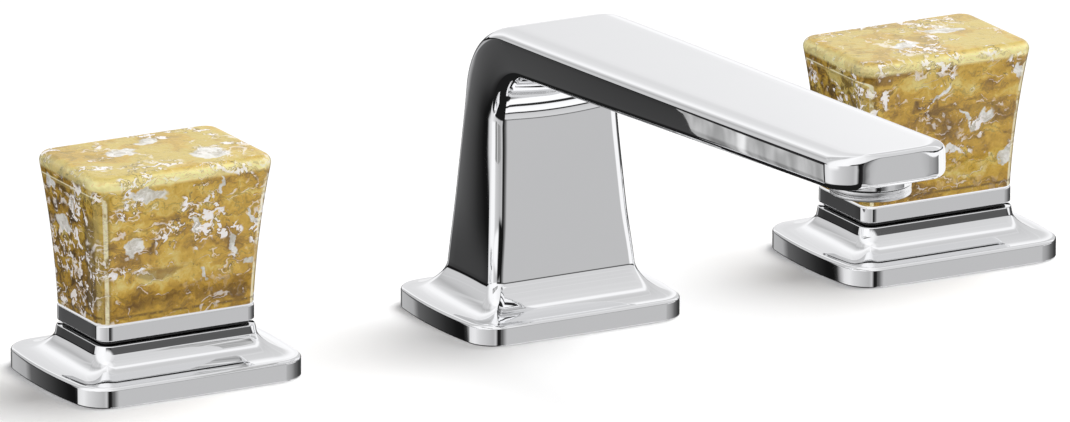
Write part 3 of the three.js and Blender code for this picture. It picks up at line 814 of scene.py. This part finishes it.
# %% [markdown]
# ## The bands
#
# A chrome band carries the block and turns with it. It is a low ring with a rectangular
# outside, its edges broken by a fine round. A bevelled box would come close, but rings give it
# the corners of the neck below. At the back a small hole lets the set screw in, which a
# cylinder cuts with the boolean tool.

# %% Model the band
hub_bore = 6.3
screw_hole = 1.5
drill_length = 12
band_edge = 0.35
band_corner = neck_corner - 0.25


def band():
    sizes = (band_size.x, band_size.y, band_corner)
    rings = []
    for inset, rise in quarter_round(band_edge, 4):
        rings.append(level_ring(*sizes, band_low + rise, inset))
    for drop, inset in quarter_round(band_edge, 4):
        rings.append(level_ring(*sizes, band_high - drop, inset))
    rings.append(level(circle(hub_bore), band_high))
    rings.append(level(circle(hub_bore), band_low))
    piece = loft("handle_band_skin_left", rings, closed=True)
    bpy.ops.object.select_all(action="DESELECT")
    bpy.ops.mesh.primitive_cylinder_add(
        vertices=32, radius=screw_hole * mm, depth=drill_length * mm,
        location=(0, band_size.y / 2 * mm, (band_low + band_high) / 2 * mm),
        rotation=(math.pi / 2, 0, 0),
    )
    join_shape(piece, bpy.context.object, "DIFFERENCE")
    return piece


band_piece = polish(band())
band_piece.data.transform(Matrix.Translation((left_x, 0, 0)))
dress(band_piece, chrome)
band_twin = copied(band_piece, "handle_band_skin_right", right_x - left_x)
for piece, side in ((band_piece, "left"), (band_twin, "right")):
    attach(piece, f"{side}_handle")
    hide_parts(f"handle_band_{side}")

# %% [markdown]
# ## The blocks
#
# The handle is a block of clear cast resin over gold leaf. It stands on the band with the same
# outline and flares towards the top, slowly at first. The top edge is rounded generously. The
# flare follows a soft curve instead of a straight taper, as its outline in the photograph does.

# %% Model the block
block_corner = 4.2
block_edge = 2.2
block_foot_edge = 0.4
block_swell = 0.06
hub_room = 19.3
early_flare, late_flare = 0.42, 0.58
flare_steps, top_steps = 16, 9


def flared(share):
    """How much of the flare a block has, at a share of its height. It also takes a Wire."""
    return early_flare * share + late_flare * (share * share)


def block():
    foot = (band_size.x, band_size.y, neck_corner)
    top = (block_size.x, block_size.y, block_corner)
    flare_low, flare_high = block_low + block_foot_edge, block_high - block_edge
    rings = [level(circle(hub_bore), block_low + hub_room), level(circle(hub_bore), block_low)]

    def add_ring(flare, height, inset=0.0):
        rings.append(level_ring(*mixed(foot, top, flare), height, inset, (0, block_swell)))

    for inset, rise in quarter_round(block_foot_edge, 4):
        add_ring(0, block_low + rise, inset)
    for share in even_shares(flare_steps):
        add_ring(flared(share), flare_low + (flare_high - flare_low) * share)
    for drop, inset in quarter_round(block_edge, top_steps)[1:]:
        add_ring(1, block_high - drop, inset)
    return loft("handle_block_skin_left", rings, ends=(0, -1))


block_piece = polish(block())
block_piece.data.transform(Matrix.Translation((left_x, 0, 0)))
print("blocks stand from", round(block_low, 2), "to", round(block_high, 2), "mm")

# %% [markdown]
# ## Gold leaf under a clear coat
#
# Leaf is laid on in small crumpled squares. It is a soft metal foil, so it shines in patches
# and breaks into creases, and here bits of silver leaf and clear chips lie among it. The thick
# coat on top is as smooth as glass and gives the sharp highlights. A colour alone would look
# like paint, so the leaf is a rough metal with its own bump, and the coat lies over it. The
# larger scraps are placed one by one, and noises strew the rest.
# Some of the block's light and shade is painted into the leaf's colour as well: highlights along its
# edges and corners, shade on its ends and beside its corners, a reflection low on its front, and a
# glow in its white bits.

# %% Place the larger scraps
# Places across and up a face in millimetres, half sizes and lean in degrees
left_front_scraps = [
    (-9.9, 47.0, 5.3, 1.8, -6), (-13.1, 34.7, 2.5, 2.2, 10), (3.2, 37.7, 1.8, 1.2, -40),
    (9.2, 46.9, 2.3, 0.7, -72), (13.2, 32.0, 2.6, 0.7, -62), (17.9, 38.6, 2.4, 0.8, -52),
    (17.2, 27.2, 1.7, 0.8, 15), (6.2, 25.8, 1.9, 0.6, -64),
]
right_front_scraps = [
    (19.4, 45.4, 1.3, 2.3, 0), (17.2, 24.8, 1.2, 3.2, -25), (10.1, 34.4, 3.2, 1.6, 35),
    (5.4, 35.8, 2.2, 0.8, -50), (-2.0, 43.0, 3.6, 0.7, 32), (2.3, 28.2, 2.6, 1.0, -15),
]
left_end_scraps = [(3.7, 37.6, 4.4, 2.0, 8), (8.2, 46.4, 2.2, 1.7, 0), (-1.6, 43.0, 1.6, 0.8, 40)]
left_top_scraps = [(-7.4, 3.0, 4.6, 2.6, 8), (10.6, -6.6, 4.4, 4.8, 0), (2.4, 8.0, 3.4, 1.8, 10)]
right_top_scraps = [(-6.0, -4.0, 4.2, 2.4, 25), (9.0, 3.0, 5.0, 2.2, -12)]
scrap_tables = (
    left_front_scraps, right_front_scraps, left_end_scraps, left_top_scraps, right_top_scraps,
)
print("scraps placed:", sum(len(table) for table in scrap_tables))

# %% Find places on a block
leaf, sheet = new_finish("gold_leaf_block")
coordinates = sheet.add("ShaderNodeTexCoord")
place = coordinates["Object"]
x, y, z = sheet.split(place)
facing_x, facing_y, facing_z = sheet.split(coordinates["Normal"])
on_front = abs(facing_y).rise(0.72, 0.86)
on_end = abs(facing_x).rise(0.72, 0.86)
on_top = facing_z.rise(0.45, 0.8)
on_left = x.math("LESS_THAN", x, 0.0)

# How high a point is on the block, and where it lies across each face
share = (z / mm - block_low) / (block_high - block_low)
flare = flared(share)
half_long = (flare * (block_size.x - band_size.x) + band_size.x) / 2
half_deep = (flare * (block_size.y - band_size.y) + band_size.y) / 2
middle = x.math("SIGN", x) * (right_x / mm)
along = (x / mm - middle) / half_long
across = y / mm / half_deep

# Torn places: the coordinates are pushed about, so that every edge comes out ragged
push = sheet.add("ShaderNodeTexNoise", {}, {"Vector": place, "Scale": 330.0, "Detail": 3.0})
push = push["Color"].vector("SUBTRACT", push["Color"], (0.5, 0.5, 0.5))
torn = place.vector("MULTIPLY_ADD", push, (0.0055, 0.0055, 0.0055), place)
print("places on a block found")

# %% Name the leaf's colours
leaf_tones = [
    (0.38, (0.24, 0.12, 0.012)), (0.44, (0.46, 0.25, 0.025)), (0.48, (0.66, 0.38, 0.038)),
    (0.51, (0.74, 0.44, 0.045)), (0.55, (0.86, 0.57, 0.085)), (0.61, (0.95, 0.76, 0.24)),
]
end_shade_brown, foot_shade_brown, speck_and_end_shade_brown = (0.13, 0.075, 0.02), (0.14, 0.075, 0.02), (0.14, 0.08, 0.02)
shadow_brown, lens_reflection_brown, olive_shade = (0.15, 0.09, 0.03), (0.27, 0.15, 0.05), (0.30, 0.21, 0.08)
warm_gold, lit_top_gold, corner_sheen_gold = (0.80, 0.50, 0.06), (0.80, 0.61, 0.17), (0.80, 0.60, 0.19)
lit_top_even_gold, lens_reflection_rim_gold, top_edge_highlight_gold = (0.80, 0.64, 0.19), (0.85, 0.66, 0.28), (0.97, 0.87, 0.40)
speck_gold, cream_highlight, glinting_white_leaf = (0.99, 0.86, 0.52), (0.96, 0.90, 0.68), (0.98, 0.93, 0.90)
dull_silver, bright_silver = (0.56, 0.53, 0.45), (0.93, 0.93, 0.90)
no_glow, leaf_glow, edge_glow = (0, 0, 0), (0.16, 0.15, 0.145), (0.20, 0.175, 0.08)
print("tones from dark to pale gold:", len(leaf_tones))


# %% Stretch a pattern
def stretched(scale, lean=0.0):
    """Torn places stretched by a scale and leant by degrees."""
    turn = (0, math.radians(lean), 0)
    inputs = {"Vector": torn, "Rotation": turn, "Scale": scale}
    return sheet.add("ShaderNodeMapping", {}, inputs)["Vector"]


strokes = sheet.noise(stretched((0.4, 0.4, 1.7), 14), 120.0, 3.0, 0.6, 0.5)
print("brush strokes drawn")

# %% Lay the gold in brushed patches
cloud = sheet.noise(torn, 75.0, 3.0, 0.55, 0.6)
mottle = sheet.noise(torn, 340.0, 4.0, 0.65)
grain = sheet.noise(place, 1500.0, 3.0, 0.7)
patches = cloud * 0.3 + strokes * 0.42 + mottle * 0.28
tone = sheet.ramp(patches, leaf_tones)
# Painted shade: the ends are darkened towards brown in patches
tone = sheet.blend(on_end * 0.6 * mottle.fall(0.44, 0.5), tone, end_shade_brown)

# Painted light: the top is painted paler and more even, as light from above falls on it, and warm
# clouds lie on the front
tone = sheet.blend(on_top * 0.5, tone, lit_top_gold)
plain = cloud.rise(0.47, 0.55) * on_top * 0.8
tone = sheet.blend(plain, tone, lit_top_even_gold)
glow = sheet.noise(place, 58.0).rise(0.53, 0.64)
tone = sheet.blend(glow * 0.4 * on_front, tone, warm_gold)
print("gold laid")

# %% Light the clear edges
# Painted light: a painted highlight along the top and a painted sheen down the corners
brow = share.between(0.915, 0.985, 0.014) * (0.6 + 0.4 * strokes.rise(0.4, 0.56))
tone = sheet.blend(brow * 0.95, tone, top_edge_highlight_gold)
# Painted shade: olive panels beside the front corners
panel_shade = across.between(-0.92, -0.50, 0.03) * on_end * share.between(0.1, 0.72, 0.04)
panel_shade = panel_shade + along.between(-0.955, -0.87, 0.012) * on_front * 0.6 * share.fall(0.86, 0.9)
tone = sheet.blend(panel_shade * 0.7, tone, olive_shade)
corner = abs(facing_x) * (1 - on_top) * share.fall(0.84, 0.9)
tone = sheet.blend(corner.between(0.66, 0.95, 0.03) * 0.6, tone, corner_sheen_gold)
# A painted cream highlight, broken by flecks, down the corners
flecks = sheet.noise(stretched((1, 1, 0.4)), 300.0).rise(0.3, 0.44)
gleam = corner.between(0.36, 0.60, 0.04) * flecks
tone = sheet.blend(gleam * 0.9, tone, cream_highlight)

# A painted reflection of the inner floor, like a bent lens low on the front, dark with a pale rim
lens_x = (along + 0.3 + (mottle - 0.5) * 0.25) / 0.31
lens_z = (share - 0.3 - 0.03 * lens_x * lens_x) / 0.042
lens = lens_x * lens_x + lens_z * lens_z
tone = sheet.blend(lens.fall(0.4, 1.2) * on_front * 0.55, tone, lens_reflection_brown)
tone = sheet.blend(lens.between(1.08, 1.5, 0.12) * on_front * 0.3, tone, lens_reflection_rim_gold)
# A painted shade line at the foot
foot_shade_line = share.between(0.035, 0.05, 0.008) * mottle.rise(0.4, 0.5)
tone = sheet.blend(foot_shade_line * 0.8, tone, foot_shade_brown)
print("edges lit")

# %% Scatter specks, threads and crumbs
# Dark and light specks lie all over, and the dark ones are painted thickest on the ends, as shade
specks = grain * 0.6 + mottle * 0.4
tone = sheet.blend(specks.fall(0.36, 0.43) * (0.35 + 0.5 * on_end), tone, speck_and_end_shade_brown)
tone = sheet.blend(specks.rise(0.60, 0.66) * 0.6, tone, speck_gold)

# Threads and crumbs of white leaf, painted bright as glints, lie in crowds, each with a painted
# shade side
crowd = sheet.noise(place, 88.0, 2.0, 0.5, 0.5)
thick = on_end * across.rise(-0.45, -0.3) * share.fall(0.5, 0.62)
low_front = share.fall(0.2, 0.32) * on_front
near = crowd.rise(0.52, 0.58).larger(thick * 0.9) * (1 - low_front * 0.9)
broken = sheet.noise(place, 260.0, 1.0)
curls = abs(sheet.noise(torn, 135.0, 1.0, 0.5, 0.7) - 0.5)
threads = curls.fall(0.006, 0.02) * broken.rise(0.5, 0.55) * near
dry = abs(sheet.noise(stretched((0.5, 0.5, 2.2), -16), 95.0, 2.0, 0.5, 0.4) - 0.5)
hairs = dry.fall(0.004, 0.016) * broken.rise(0.48, 0.54) * 0.6
bits = sheet.noise(torn, 430.0, 2.0, 0.6, 0.3)
crumbs = bits.rise(0.56, 0.595) * near
dry_side = dry.between(0.018, 0.032, 0.006) * (0.2 + 0.4 * on_front)
shade = bits.between(0.51, 0.555, 0.015) * near + dry_side
tone = sheet.blend(shade * 0.6, tone, shadow_brown)
white = threads.larger(crumbs).larger(hairs)
print("specks scattered")


# %% Strew the larger scraps
def scraps(first, second, table):
    """Torn scraps on a face: 1 inside them and 0 outside."""
    where = sheet.joined(first, second)
    found = None
    for aside, up, half_wide, half_tall, lean in table:
        inside = sheet.add("ShaderNodeMapping", {"vector_type": "TEXTURE"}, {
            "Vector": where, "Location": (aside, up, 0),
            "Rotation": (0, 0, math.radians(lean)), "Scale": (half_wide, half_tall, 1),
        })["Vector"]
        scrap = inside.vector("LENGTH", inside, output="Value").fall(0.86, 1.06)
        found = scrap if found is None else found.larger(scrap)
    return found


torn_x, torn_y, torn_z = sheet.split(torn)
wide_way, deep_way, up_way = torn_x / mm - middle, torn_y / mm, torn_z / mm
seen_front = scraps(wide_way, up_way, left_front_scraps) * on_left
seen_front = seen_front + scraps(wide_way, up_way, right_front_scraps) * (1 - on_left)
seen_front = seen_front * facing_y.math("LESS_THAN", facing_y, 0.0)
seen_end = scraps(deep_way, up_way, left_end_scraps) * on_left
seen_top = scraps(wide_way, deep_way, left_top_scraps) * on_left
seen_top = seen_top + scraps(wide_way, deep_way, right_top_scraps) * (1 - on_left)
chips = seen_front * on_front + seen_end * on_end + seen_top * on_top
silver = sheet.blend(mottle.rise(0.36, 0.62), dull_silver, bright_silver)
tone = sheet.blend(chips * 0.92, tone, silver)
tone = sheet.blend(white, tone, glinting_white_leaf)
print("scraps strewn")

# %% Pour the clear coat over the leaf
pale = white.larger(chips)
# Painted glow: an emission lights the white leaf, most on the ends, the scraps a little, and the
# edges' highlights
lit = sheet.blend(white * (0.6 + on_end) + chips * 0.3, no_glow, leaf_glow)
lit = sheet.blend((brow + gleam) * 0.9, lit, edge_glow)
height = mottle * 0.5 + strokes * 0.8 + bits * near * 0.4 + grain * 0.06
sheet.cover(sheet.add("ShaderNodeBsdfPrincipled", {}, {
    "Base Color": tone, "Metallic": 0.4 - pale * 0.35, "Roughness": 0.3 + 0.25 * mottle,
    "Normal": sheet.bump(height, 0.55, 0.0026),
    "Coat Weight": 1 - on_top * 0.6, "Coat Roughness": 0.015, "Coat IOR": 1.5,
    "Emission Color": lit, "Emission Strength": 1.0,
}))
dress(block_piece, leaf)
block_twin = copied(block_piece, "handle_block_skin_right", right_x - left_x)
for piece, side in ((block_piece, "left"), (block_twin, "right")):
    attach(piece, f"{side}_handle")
    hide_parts(f"handle_block_{side}")
    piece.visible_glossy = False
print("nodes in the leaf:", len(leaf.node_tree.nodes))

# %% [markdown]
# ## The spout
#
# Plate, column and arm are one casting. In side view two lines rise from the plate, lean in,
# turn through an arch and run out to the tip, and the sections are strung between them. The
# sides are crowned by less than half a millimetre, as polished flats always are, and that is
# what makes their reflections fade from edge to edge. A bent and extruded plate would keep one
# width and one corner, while here both change all the way.

# %% Draw the spout's side view
plate_long = 57.8
plate_deep = 44.6
column_foot = 12.4
foot_front, foot_back = 12.4, 11.6
lean_front, lean_back = 5.0, 4.8
under_column, under_tip = 61.6, 71.6
top_column, top_tip = 71.9, 79.78
reach = 164.0
inner_radius, outer_radius = 13.4, 18.6


def crossing(start, end, other_start, other_end):
    """Where two straight lines cross."""
    a, b = end - start, other_end - other_start
    gap = other_start - start
    return start + a * ((gap.x * b.y - gap.y * b.x) / (a.x * b.y - a.y * b.x))


def round_turn(start, corner, end, radius, steps):
    """The points of an arc that joins two straight lines."""
    near, far = (start - corner).normalized(), (end - corner).normalized()
    half = math.acos(near.dot(far)) / 2
    centre = corner + (near + far).normalized() * radius / math.sin(half)
    first = corner + near * radius / math.tan(half) - centre
    turn = math.copysign(math.pi - 2 * half, -(near.x * far.y - near.y * far.x))
    points = []
    for step in range(steps + 1):
        angle = turn * step / steps
        cosine, sine = math.cos(angle), math.sin(angle)
        points.append(centre + Vector((
            first.x * cosine - first.y * sine, first.x * sine + first.y * cosine,
        )))
    return points


print("a turn can be drawn")

# %% Turn the side view through the arch
arch_steps = 28
arch_height = under_column - column_foot
front_foot, back_foot = Vector((-foot_front, column_foot)), Vector((foot_back, column_foot))
front_high = front_foot + Vector((lean_front, arch_height))
back_high = back_foot + Vector((-lean_back, arch_height))
low_line = (Vector((0, under_column)), Vector((-reach, under_tip)))
high_line = (Vector((0, top_column)), Vector((-reach, top_tip)))
inner_turn = round_turn(
    front_foot, crossing(front_foot, front_high, *low_line), low_line[1], inner_radius, arch_steps,
)
outer_turn = round_turn(
    back_foot, crossing(back_foot, back_high, *high_line), high_line[1], outer_radius, arch_steps,
)
print("arch from", [round(v, 1) for v in inner_turn[0]], "to", [round(v, 1) for v in inner_turn[-1]])

# %% Name the sizes of the sections
column_length, paddle_length, tip_length = 38.9, 33.8, 30.6
front_corner, back_corner = 3.2, (2.5, 2.5)
under_corner = 2.3
high_corner, tip_high_corner = (5.3, 3.25), (4.4, 2.6)
spout_plate_corner = 7.0
tip_corner, tip_bow = 7.6, 1.4
tip_edge, tip_under = 1.2, 1.4
under_tip_corner = 1.5
crown, arm_crown = 0.3, 0.05
belly = 1.0
least_flat = 0.7
column_steps, arm_steps, tip_steps = 14, 16, 14
# How fast the column gets its own corners and the arch its belly, and how far into the arch the
# narrowing runs
corner_pace, belly_pace, narrowing_run = 2.5, 1.6, 0.6
print("the arm narrows from", paddle_length, "to", tip_length, "mm")


# %% Draw one section
def section(low, high, length, corner, upper, bow=crown, belly=0.0):
    """An outline strung between the two side lines, its sides crowned by a little.

    The upper corners are elliptical, and their width and height are given. The lower side can
    be bellied."""
    across = high - low
    room = across.length / 2 - least_flat
    wide, tall = (size * min(1, room / upper[1]) for size in upper)
    under = outline(length, across.length, min(corner, room), bow, bow / 2)
    squash = tall / wide
    over = outline(length, across.length / squash, wide, bow, bow / 2 / squash)
    points = [
        Vector((above.x, above.y * squash)) if above.y > 0 else below
        for above, below in zip(over, under)
    ]
    for point in points:
        if point.y < 0:
            share = 2 * point.x / length
            point.y -= belly * (1 - share * share) * min(1, -4 * point.y / across.length)
    up = across.normalized()
    middle = (low + high) / 2
    return [
        Vector((point.x, middle.x + point.y * up.x, middle.y + point.y * up.y)) * mm
        for point in points
    ]


foot_section = section(front_foot, back_foot, column_length, front_corner, back_corner)
print("a section at the column's foot has", len(foot_section), "points")


# %% Follow the widths along the spout
def column_width(run, ease=0.18):
    """How much wider than the arm the column is, from 1 at the foot to 0 past the arch's start."""
    if run < 1 - ease:
        return 1 - run
    return max(1 + ease - run, 0) ** 2 / (4 * ease)


def taper(share, ease=0.35):
    """How much of the arm's narrowing is done, starting gently where the arch ends."""
    done = share - ease / 2 if share > ease else share * share / (2 * ease)
    return done / (1 - ease / 2)


def along_paddle(share):
    """The arm's lower and upper line and its width, from the arch at 0 to the tip at 1."""
    low = inner_turn[-1].lerp(low_line[1], share)
    high = outer_turn[-1].lerp(high_line[1], share)
    return low, high, paddle_length + (tip_length - paddle_length) * taper(share)


def drawn_in(radius, back_from):
    """How far a round edge draws in, at a distance back from the end."""
    if back_from >= radius:
        return 0.0
    return radius - math.sqrt(radius ** 2 - (radius - back_from) ** 2)


print("the arm's width halfway:", round(along_paddle(0.5)[2], 2), "mm")


# %% String the sections along the spout
def eased(share):
    """A share that starts and ends gently."""
    return share * share * (3 - 2 * share)


def column_rings(even_corner, narrowing):
    """Sections from the plate's neck up to the arch."""
    rings = []
    for share in even_shares(column_steps):
        low, high = front_foot.lerp(inner_turn[0], share), back_foot.lerp(outer_turn[0], share)
        length = paddle_length + narrowing * column_width(share)
        blend = eased(min(1, corner_pace * share))
        corner = even_corner + (front_corner - even_corner) * blend
        upper = mixed((even_corner, even_corner), back_corner, blend)
        rings.append(section(low, high, length, corner, upper, crown * blend))
    # The arch begins with the last of them
    return rings[:-1]


def arch_rings(narrowing):
    """Sections round the arch, whose lower side swells into the arm's belly."""
    rings = []
    for step, (low, high) in enumerate(zip(inner_turn, outer_turn)):
        share = step / arch_steps
        length = paddle_length + narrowing * column_width(1 + narrowing_run * share)
        blend = eased(share)
        corner = front_corner + (under_corner - front_corner) * blend
        upper = mixed(back_corner, high_corner, blend)
        bow = crown + (arm_crown - crown) * blend
        swell = belly * min(1, belly_pace * share)
        rings.append(section(low, high, length, corner, upper, bow, swell))
    return rings


def arm_rings(run):
    """Sections along the arm, up to where the tip's corners begin."""
    rings = []
    last = 1 - tip_corner / run
    for share in even_shares(arm_steps):
        low, high, length = along_paddle(share * last)
        upper = mixed(high_corner, tip_high_corner, share * last)
        corner = under_corner + (under_tip_corner - under_corner) * share * share
        rings.append(section(low, high, length, corner, upper, arm_crown, belly * (1 - share)))
    return rings


def tip_rings(run):
    """Sections that close in on all sides, so that the tip's edges come out round."""
    rings = []
    for share in even_shares(tip_steps):
        back_from = tip_corner * (1 - math.sin(math.pi / 2 * share))
        low, high, length = along_paddle(1 - back_from / run)
        up = (high - low).normalized()
        low = low + up * drawn_in(tip_under, back_from)
        high = high - up * drawn_in(tip_edge, back_from)
        width = length - 2 * drawn_in(tip_corner, back_from)
        ring = section(low, high, width, under_tip_corner, tip_high_corner, arm_crown * (1 - share))
        for point in ring:
            point.y += tip_bow * share * (2 * point.x / mm / tip_length) ** 2 * mm
        rings.append(ring)
    return rings


def spout_rings():
    """All sections of the spout's outside, from the deck to the tip."""
    even_corner = (front_corner + back_corner[0]) / 2
    narrowing = column_length - paddle_length
    run = (low_line[1] - inner_turn[-1]).length
    plate_rings = plate_skin(
        plate_long, plate_deep, spout_plate_corner, (column_length, foot_front + foot_back),
        even_corner, column_foot, shift=(foot_back - foot_front) / 2,
    )
    column = column_rings(even_corner, narrowing)
    return plate_rings + column + arch_rings(narrowing) + arm_rings(run) + tip_rings(run)


print("sections in the spout:", len(spout_rings()))


# %% Loft the spout
boss, seal_seat, socket, waterway = 15.0, 12.6, 10.5, 6.5
seat_depth, socket_depth, waterway_top = 2.2, 7, 18


def spout():
    """Plate, column and arm in one skin, open below for the waterway and the shank."""
    under = [
        level(circle(waterway), waterway_top), level(circle(waterway), socket_depth),
        level(circle(socket), socket_depth), level(circle(socket), seat_depth),
        level(circle(seal_seat), seat_depth), level(circle(seal_seat), 0),
        level(circle(boss), 0),
    ]
    under += under_plate(plate_long, plate_deep, spout_plate_corner, boss)
    return loft("spout_skin", under + spout_rings(), ends=(0, -1))


spout_piece = spout()
print("spout lofted:", len(spout_piece.data.vertices), "points")

# %% [markdown]
# ## The collar over the aerator
#
# A short round collar grows out of the arm's underside, and the aerator's seat is bored up
# through it. A turner would cut both on a lathe. The spin tool does the same, as it sweeps a
# profile round an axis, and the boolean tool joins the collar to the arm and bores the seat.

# %% Turn a ring with the spin tool
def turned(name, profile, place, steps=96):
    """A ring turned from a closed profile of radius and height, by the spin tool."""
    bpy.ops.object.select_all(action="DESELECT")
    bpy.ops.mesh.primitive_circle_add(vertices=len(profile), radius=mm)
    piece = bpy.context.object
    piece.name = name
    piece.data.name = name
    flat = [value * mm for radius, height in profile for value in (radius, 0, height)]
    piece.data.vertices.foreach_set("co", flat)
    bpy.ops.object.mode_set(mode="EDIT")
    bpy.ops.mesh.select_all(action="SELECT")
    bpy.ops.mesh.spin(steps=steps, angle=2 * math.pi, center=(0, 0, 0), axis=(0, 0, 1))
    bpy.ops.mesh.select_all(action="SELECT")
    bpy.ops.mesh.remove_doubles(threshold=0.005 * mm)
    bpy.ops.mesh.normals_make_consistent(inside=False)
    bpy.ops.object.mode_set(mode="OBJECT")
    piece.data.transform(Matrix.Translation(place))
    return piece


def rounded(corners, radius, steps=3):
    """A closed profile with its corners rounded."""
    points = []
    for number, corner in enumerate(corners):
        here = Vector(corner)
        near = Vector(corners[number - 1]) - here
        far = Vector(corners[(number + 1) % len(corners)]) - here
        size = min(radius, near.length * 0.45, far.length * 0.45)
        start, end = here + near.normalized() * size, here + far.normalized() * size
        for step in range(steps + 1):
            share = step / steps
            curve = start.lerp(here, share).lerp(here.lerp(end, share), share)
            points.append(tuple(curve))
    return points


print("profiles can be turned")

# %% Add the collar and polish the spout
aerator_back = 13.0
aerator_y = -(reach - aerator_back)
collar_drop = 1.3
collar_share = (reach - aerator_back) / reach
collar_low = under_column + (under_tip - under_column) * collar_share - collar_drop
collar_high = under_tip + 1.0
collar_inner, collar_outer = 6.0, 9.4
seat_top = 76.85
seat_radius = 8.5
cutter_height = 12
collar_edge = 0.25


def with_collar(piece):
    """Adds the short collar over the aerator and cuts the aerator's seat."""
    profile = [
        (collar_inner, collar_low), (collar_outer, collar_low),
        (collar_outer, collar_high), (collar_inner, collar_high),
    ]
    collar = turned("collar", rounded(profile, collar_edge), (0, aerator_y * mm, 0))
    join_shape(piece, collar, "UNION")
    bpy.ops.mesh.primitive_cylinder_add(
        vertices=96, radius=seat_radius * mm, depth=cutter_height * mm,
        location=(0, aerator_y * mm, (seat_top - cutter_height / 2) * mm),
    )
    join_shape(piece, bpy.context.object, "DIFFERENCE")
    return piece


spout_piece = polish(with_collar(spout_piece))
dress(spout_piece, chrome)
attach(spout_piece, "fixed_units")
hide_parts("spout_body")

# %% [markdown]
# ## The aerator
#
# A turned housing screws into the collar under the tip. Its rim stands below the collar and
# has a shallow groove, so that it reads as a piece of its own. It is round in every section,
# so its profile is drawn once and spun round the aerator's centre.

# %% Model the aerator's housing
face, thread_top = heights_of("aerator_housing")
mouth, thread_bore = 6.3, 6.9
rim_outer, groove_outer, thread_outer = 9.2, 9.0, 8.2
groove_low, groove_high, groove_slope = 0.75, 1.25, 0.15
lip = 0.8
collar_gap = 0.2
housing_edge = 0.18


def housing():
    shoulder = collar_low - collar_gap
    corners = [
        (mouth, face), (rim_outer, face), (rim_outer, face + groove_low),
        (groove_outer, face + groove_low + groove_slope),
        (groove_outer, face + groove_high - groove_slope),
        (rim_outer, face + groove_high), (rim_outer, shoulder), (thread_outer, shoulder),
        (thread_outer, thread_top), (thread_bore, thread_top), (thread_bore, face + lip),
        (mouth, face + lip),
    ]
    profile = rounded(corners, housing_edge)
    return turned("aerator_housing_skin", profile, (0, aerator_y * mm, 0))


satin_chrome = chrome_finish("satin_chrome", satin=0.3)
housing_piece = polish(housing())
dress(housing_piece, satin_chrome)
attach(housing_piece, "fixed_units")
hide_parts("aerator_housing")

# %% [markdown]
# ## Finishes for the inner pieces
#
# Under the chrome are brass, steel, ceramic, rubber, foam and plastic. They are seen only with
# the faucet taken apart or from below, but each has its own surface: turned brass has fine
# rings, ceramic is smooth and barely mottled, and foam is full of pores. One recipe serves
# them all, because two tones, a grain and a range of roughness tell them apart.

# %% Mix the inner finishes
def inner_finish(name, dark, light, metal, rough, grain, bump_depth, stretch=(1, 1, 1)):
    finish, sheet = new_finish(name)
    place = sheet.place()
    drawn = sheet.add("ShaderNodeMapping", {}, {"Vector": place, "Scale": stretch})["Vector"]
    fine = sheet.noise(drawn, grain, 3.0, 0.6)
    tone = sheet.blend(sheet.noise(place, 60.0, 4.0).rise(0.3, 0.7), dark, light)
    low, high = rough
    sheet.cover(sheet.add("ShaderNodeBsdfPrincipled", {}, {
        "Base Color": tone, "Metallic": metal, "Roughness": low + (high - low) * fine,
        "Normal": sheet.bump(fine, 0.6, bump_depth),
    }))
    return finish


# Dark and light tone, metal, least and most roughness, grain, depth of the bump, stretch
inner_looks = {
    "brass": (
        "turned_brass", (0.50, 0.33, 0.12), (0.66, 0.47, 0.20), 1.0, (0.2, 0.42), 260, 0.00004,
        (1, 1, 14),
    ),
    "steel": (
        "zinc_steel", (0.42, 0.44, 0.45), (0.60, 0.61, 0.62), 1.0, (0.25, 0.5), 900, 0.00003,
    ),
    "ceramic": (
        "white_ceramic", (0.84, 0.83, 0.79), (0.90, 0.89, 0.86), 0.0, (0.12, 0.25), 500, 0.00001,
    ),
    "rubber": (
        "black_rubber", (0.010, 0.010, 0.011), (0.020, 0.020, 0.021), 0.0, (0.6, 0.8), 1500,
        0.00003,
    ),
    "foam": (
        "closed_cell_foam", (0.018, 0.019, 0.020), (0.045, 0.046, 0.048), 0.0, (0.85, 1.0), 1400,
        0.0002,
    ),
    "black_plastic": (
        "slip_plastic", (0.006, 0.006, 0.007), (0.012, 0.012, 0.013), 0.0, (0.35, 0.5), 1200,
        0.00002,
    ),
    "grey_plastic": (
        "grey_plastic", (0.44, 0.46, 0.48), (0.50, 0.52, 0.54), 0.0, (0.35, 0.5), 1200, 0.00002,
    ),
}
inner = {slot: inner_finish(*look) for slot, look in inner_looks.items()}
print("inner finishes:", len(inner))

# %% Dress the inner pieces
slots = {
    "brass": [
        "handle_hub", "valve_stem", "bonnet_nut", "cartridge_sleeve", "valve_body", "mount_ring",
        "lock_nut", "spout_shank", "spout_lock_nut", "spout_tee",
    ],
    "steel": ["set_screw", "deck_washer", "spout_washer", "aerator_screen"],
    "ceramic": ["moving_disc", "fixed_disc"],
    "rubber": ["stem_seal", "seat_seal", "shank_seal", "aerator_seal"],
    "foam": ["plate_gasket", "spout_gasket"],
    "black_plastic": ["glide_ring"],
    "grey_plastic": ["aerator_insert"],
}
dressed = 0
for slot, names in slots.items():
    for name in names:
        for node in (name, f"{name}_left", f"{name}_right"):
            if node in nodes:
                for place in nodes[node].material_slots:
                    place.material = inner[slot]
                dressed += 1
for name in nodes:
    nodes[name].visible_glossy = name.startswith("glide_ring")
print("inner nodes dressed:", dressed)

# %% [markdown]
# ## Last measures
#
# The fine skins must not make the faucet larger than its CAD model. Both boxes are written
# out so that they can be compared.

# %% Write the two boxes and finish
seen_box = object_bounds()
for name, pair in (("CAD", cad_box), ("visual", seen_box)):
    print(name, "box:", [[round(value / mm, 2) for value in corner] for corner in pair])
